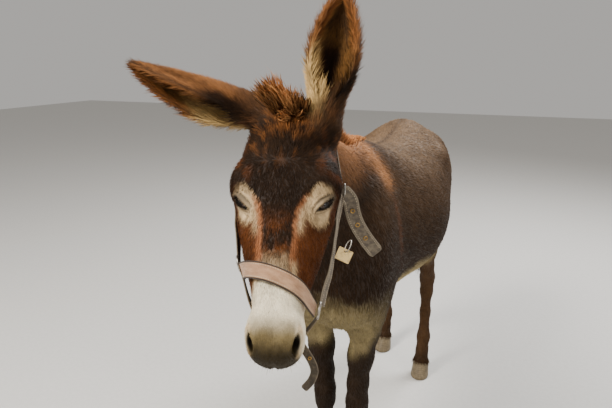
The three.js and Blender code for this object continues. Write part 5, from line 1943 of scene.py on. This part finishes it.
def tube_along(path, radius, sectors, closed=False):
    """A round wire along a path of points."""
    path = np.array(path, float)
    count = len(path)
    if closed:
        along = unit(np.roll(path, -1, 0) - np.roll(path, 1, 0))
    else:
        along = unit(np.gradient(path, axis=0))
    across = unit(np.cross(along[0], [0.3, 0.5, 0.81]))
    frames = []
    for way in along:
        across = unit(across - way * (across @ way))
        frames.append((across, np.cross(way, across)))
    a, b = (np.array(column) for column in zip(*frames))
    points = (path[:, None] + rings_of(a, b, sectors) * radius).reshape(-1, 3)
    return points, [grid_faces(count, sectors, True)] if closed else tube_faces(count, sectors)


def rounded_box(width, height, corner, per=8):
    """A closed outline with round corners, anticlockwise."""
    turn = np.linspace(0, np.pi / 2, per)
    parts = []
    for k, (sx, sy) in enumerate(((1, 1), (-1, 1), (-1, -1), (1, -1))):
        angle = turn + k * np.pi / 2
        middle = np.array([sx * (width / 2 - corner), sy * (height / 2 - corner)])
        parts.append(middle + corner * np.column_stack([np.cos(angle), np.sin(angle)]))
    return np.concatenate(parts)


def make_tag(material, steel):
    """A small plate with a hole near its top, and the oval wire hook that goes through it."""
    facing = LOOSE_FACING
    right = unit(np.cross([0, 1, 0], facing))
    axes = np.column_stack([right, np.cross(facing, right), facing])
    axes = HEAD @ axes @ rotation("z", TAG["tilt"])
    place = from_head(TAG["at"])[0]
    hole_y = TAG["height"] / 2 - 2 * TAG["hole"]
    outer = rounded_box(TAG["width"] - 2, TAG["height"] - 2, 2.0) - [0, hole_y]
    turn = np.arctan2(outer[:, 1], outer[:, 0])
    inner = np.column_stack([np.cos(turn), np.sin(turn)]) * TAG["hole"]
    half = TAG["thickness"] / 2
    # From the hole to the edge and back: share of the way out, and height in half thicknesses.
    steps = [(0, -0.5), (0, 0.5), (0.12, 1.0), (0.2, 0.8), (0.9, 0.8), (0.95, 1.0), (1.0, 0.6)]
    steps += [(1.0, -0.6), (0.95, -1.0), (0.12, -1.0)]
    rows = []
    for share, level in steps:
        flat = inner + (outer - inner) * share + [0, hole_y]
        rows.append(np.column_stack([flat, np.full(len(flat), level * half)]))
    points = np.concatenate(rows) @ axes.T + place
    faces = grid_faces(len(rows), len(outer), True)[:, ::-1]
    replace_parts(plain("tag_plate", points, faces, material, "tag_plastic"), "tag")
    hook = HOOK["length"] / 2
    turn = turns(48)
    wide = HOOK["width"] / 2 * np.cos(turn)
    loop = np.column_stack([0.6 * wide, hole_y + hook + hook * np.sin(turn), 0.8 * wide])
    points, faces = tube_along(loop @ axes.T + place, HOOK["wire"], 10, True)
    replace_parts(plain("tag_wire", points, faces, steel, "steel"), "tag_hook")


def make_eyelet(name, places, facing, share, radius, brass):
    """A brass ring on a flat strap, at a share of its length."""
    far = distances(places)
    stop = share * far[-1]
    point = interpolated(stop, far, places)
    way = interpolated(stop, far, unit(np.gradient(places, axis=0)))
    across = unit(np.cross(facing, way))
    rise = np.cross(way, across)
    seat = (point + rise * (WEBBING + 0.4), np.column_stack([way, across, rise]))
    points, faces = torus_points(seat, radius, EYELET_WIRE, 32, 10)
    return plain(name, points, faces, brass, "brass")


def make_halter():
    """The straps, rings, buckles, eyelets and tag."""
    beige = webbing_look("beige_webbing", colour(166, 124, 92), colour(206, 166, 130), colour(56, 40, 26))
    grey = leather_look("grey_leather", colour(84, 74, 62), colour(134, 122, 102), 0.72)
    dark = leather_look("dark_leather", colour(58, 50, 40), colour(112, 98, 78), 0.62)
    pale_thread = webbing_look(
        "pale_thread", colour(190, 170, 140), colour(214, 200, 176), colour(160, 140, 110)
    )
    dark_thread = webbing_look("dark_thread", colour(70, 58, 44), colour(98, 84, 66), colour(60, 50, 40))
    steel = metal_look("steel", colour(176, 172, 164), colour(112, 96, 78), 0.32)
    brass = metal_look("brass", colour(188, 150, 84), colour(120, 92, 52), 0.34)
    looks = dict.fromkeys(STRAPS, (dark, "dark_leather", dark_thread))
    looks["halter_noseband"] = (beige, "beige_webbing", pale_thread)
    looks["halter_cheek_left"] = (grey, "grey_leather", pale_thread)
    for name, (stations, width) in STRAPS.items():
        places, normals = on_head(spline(stations, 14))
        if name in TURNED:
            _, aside, _ = strap_axes(places, normals)
            turn = math.radians(TURNED[name])
            normals = math.cos(turn) * normals + math.sin(turn) * aside * np.sign(-aside[:, 1:2])
        look, slot, thread = looks[name]
        lay_band(name, places, normals, width, look, slot, thread, 0.3 if look is beige else 0.0)
    for side, station in RINGS.items():
        points, faces = torus_points(seat_on_head(station), RING_RADIUS, RING_WIRE)
        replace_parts(plain("ring_" + side, points, faces, steel, "steel"), "halter_ring_" + side)
    for side, station in BUCKLES.items():
        point, axes = seat_on_head(station)
        flat = rounded_box(BUCKLE["width"], BUCKLE["height"], BUCKLE["corner"])
        path = np.column_stack([flat, np.full(len(flat), BUCKLE["wire"])]) @ axes.T + point
        tongue = spline(BUCKLE_TONGUE, 6) @ axes[:, [1, 0, 2]].T + point
        ring = tube_along(path, BUCKLE["wire"], 12, True)
        points, faces = joined([ring, tube_along(tongue, BUCKLE["tongue_wire"], 10)])
        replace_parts(plain("buckle_" + side, points, faces, steel, "steel"), "halter_buckle_" + side)
    facing = HEAD @ LOOSE_FACING
    places = from_head(spline(LOOSE_END, 12)).astype(float)
    normals = rows_of(facing, len(places))
    lay_band("halter_loose_end", places, normals, LOOSE_WIDTH, grey, "grey_leather", pale_thread, 0, 0.5)
    for i, share in enumerate(EYELETS, 1):
        made = make_eyelet(f"eyelet_{i}", places, facing, share, EYELET_RADIUS, brass)
        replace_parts(made, f"halter_eyelet_{i}")
    places = from_head(spline(CHIN_END, 8)).astype(float)
    normals = rows_of(facing, len(places))
    lay_band("halter_chin_end", places, normals, CHIN_WIDTH, dark, "dark_leather", dark_thread, 0, 0.6)
    make_eyelet("eyelet_chin", places, facing, CHIN_EYELET, CHIN_EYELET_RADIUS, brass)
    make_tag(plastic_look(), steel)


# ---------------- light and camera
CAMERA_AT = np.array([0.429, -1.714, 1.327]) + ORIGIN / 1000
CAMERA_TURN = 21.7  # degrees to its left of straight at the donkey's back
CAMERA_DROP = 15.0  # degrees below level
LENS = 32.647
FLOOR_REACH = 12
SKY, SKY_STRENGTH = (0.93, 0.9, 0.86, 1), 0.5


def make_camera():
    camera = bpy.data.cameras.new("camera")
    camera.lens = LENS
    camera.sensor_width = 36
    camera.clip_start = 0.05
    made = placed("camera", camera)
    made.location = CAMERA_AT
    made.rotation_euler = (math.radians(90 - CAMERA_DROP), 0, math.radians(CAMERA_TURN))
    bpy.context.scene.camera = made


def make_light(name, place, target, size, power, tint=(1, 1, 1)):
    """A round lamp that faces its target."""
    light = bpy.data.lights.new(name, "AREA")
    light.shape = "DISK"
    light.size = size
    light.energy = power
    light.color = tint
    made = placed(name, light)
    made.location = place
    way = unit(np.array(target) - np.array(place))
    turn = math.atan2(way[0], -way[1])
    made.rotation_euler = (math.acos(-way[2]), 0, turn + math.pi)


def make_stage():
    """A plain floor, a pale sky and three lamps."""
    mesh = bpy.data.meshes.new("floor")
    corners = [(x * FLOOR_REACH, y * FLOOR_REACH, 0) for x, y in ((-1, -1), (1, -1), (1, 1), (-1, 1))]
    mesh.from_pydata(corners, [], [(0, 1, 2, 3)])
    mesh.materials.append(floor_look())
    floor = placed("floor", mesh)
    world = bpy.data.worlds.new("studio")
    world.use_nodes = True
    sky = world.node_tree.nodes["Background"]
    sky.inputs["Color"].default_value = SKY
    sky.inputs["Strength"].default_value = SKY_STRENGTH
    bpy.context.scene.world = world
    make_light("key", (-1.6, -2.6, 3.6), (0, -0.5, 0.9), 1.4, 240, (1, 0.96, 0.9))
    make_light("fill", (3.2, -2.0, 2.2), (0, -0.4, 0.8), 2.4, 50, (1, 0.97, 0.93))
    make_light("back", (1.2, 2.6, 3.6), (0, 0.2, 0.9), 1.6, 200)


# ---------------- the donkey
SKIN_NODES = ["head", "neck", "trunk", "ear_left", "ear_right"] + ["leg_" + name for name in LEGS]

make_camera()
make_stage()
skin_mesh = make_skin_mesh()
values = skin_values(skin_mesh)
add_colours(skin_mesh, values["colour"])
unwrap_skin(skin_mesh, values["point"])
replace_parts(piece("skin", skin_mesh, skin_look(), "coat"), *SKIN_NODES)
fur = fur_look("fur", 0.66, 0.0012, 0.5)
hair = fur_look("long_hair", 0.55, 0.0015, 0.4)
make_coat(skin_mesh, values, fur)
skin_field = Skin()
make_mane(skin_field, hair)
make_forelock(skin_field, hair)
make_tail(hair)
make_lashes(hair)
make_whiskers(skin_field, hair)
eye_material, horn_material = eye_look(), horn_look()
for side in EARS:
    make_eye(side, eye_material)
for name in LEGS:
    make_hoof(name, horn_material)
make_halter()
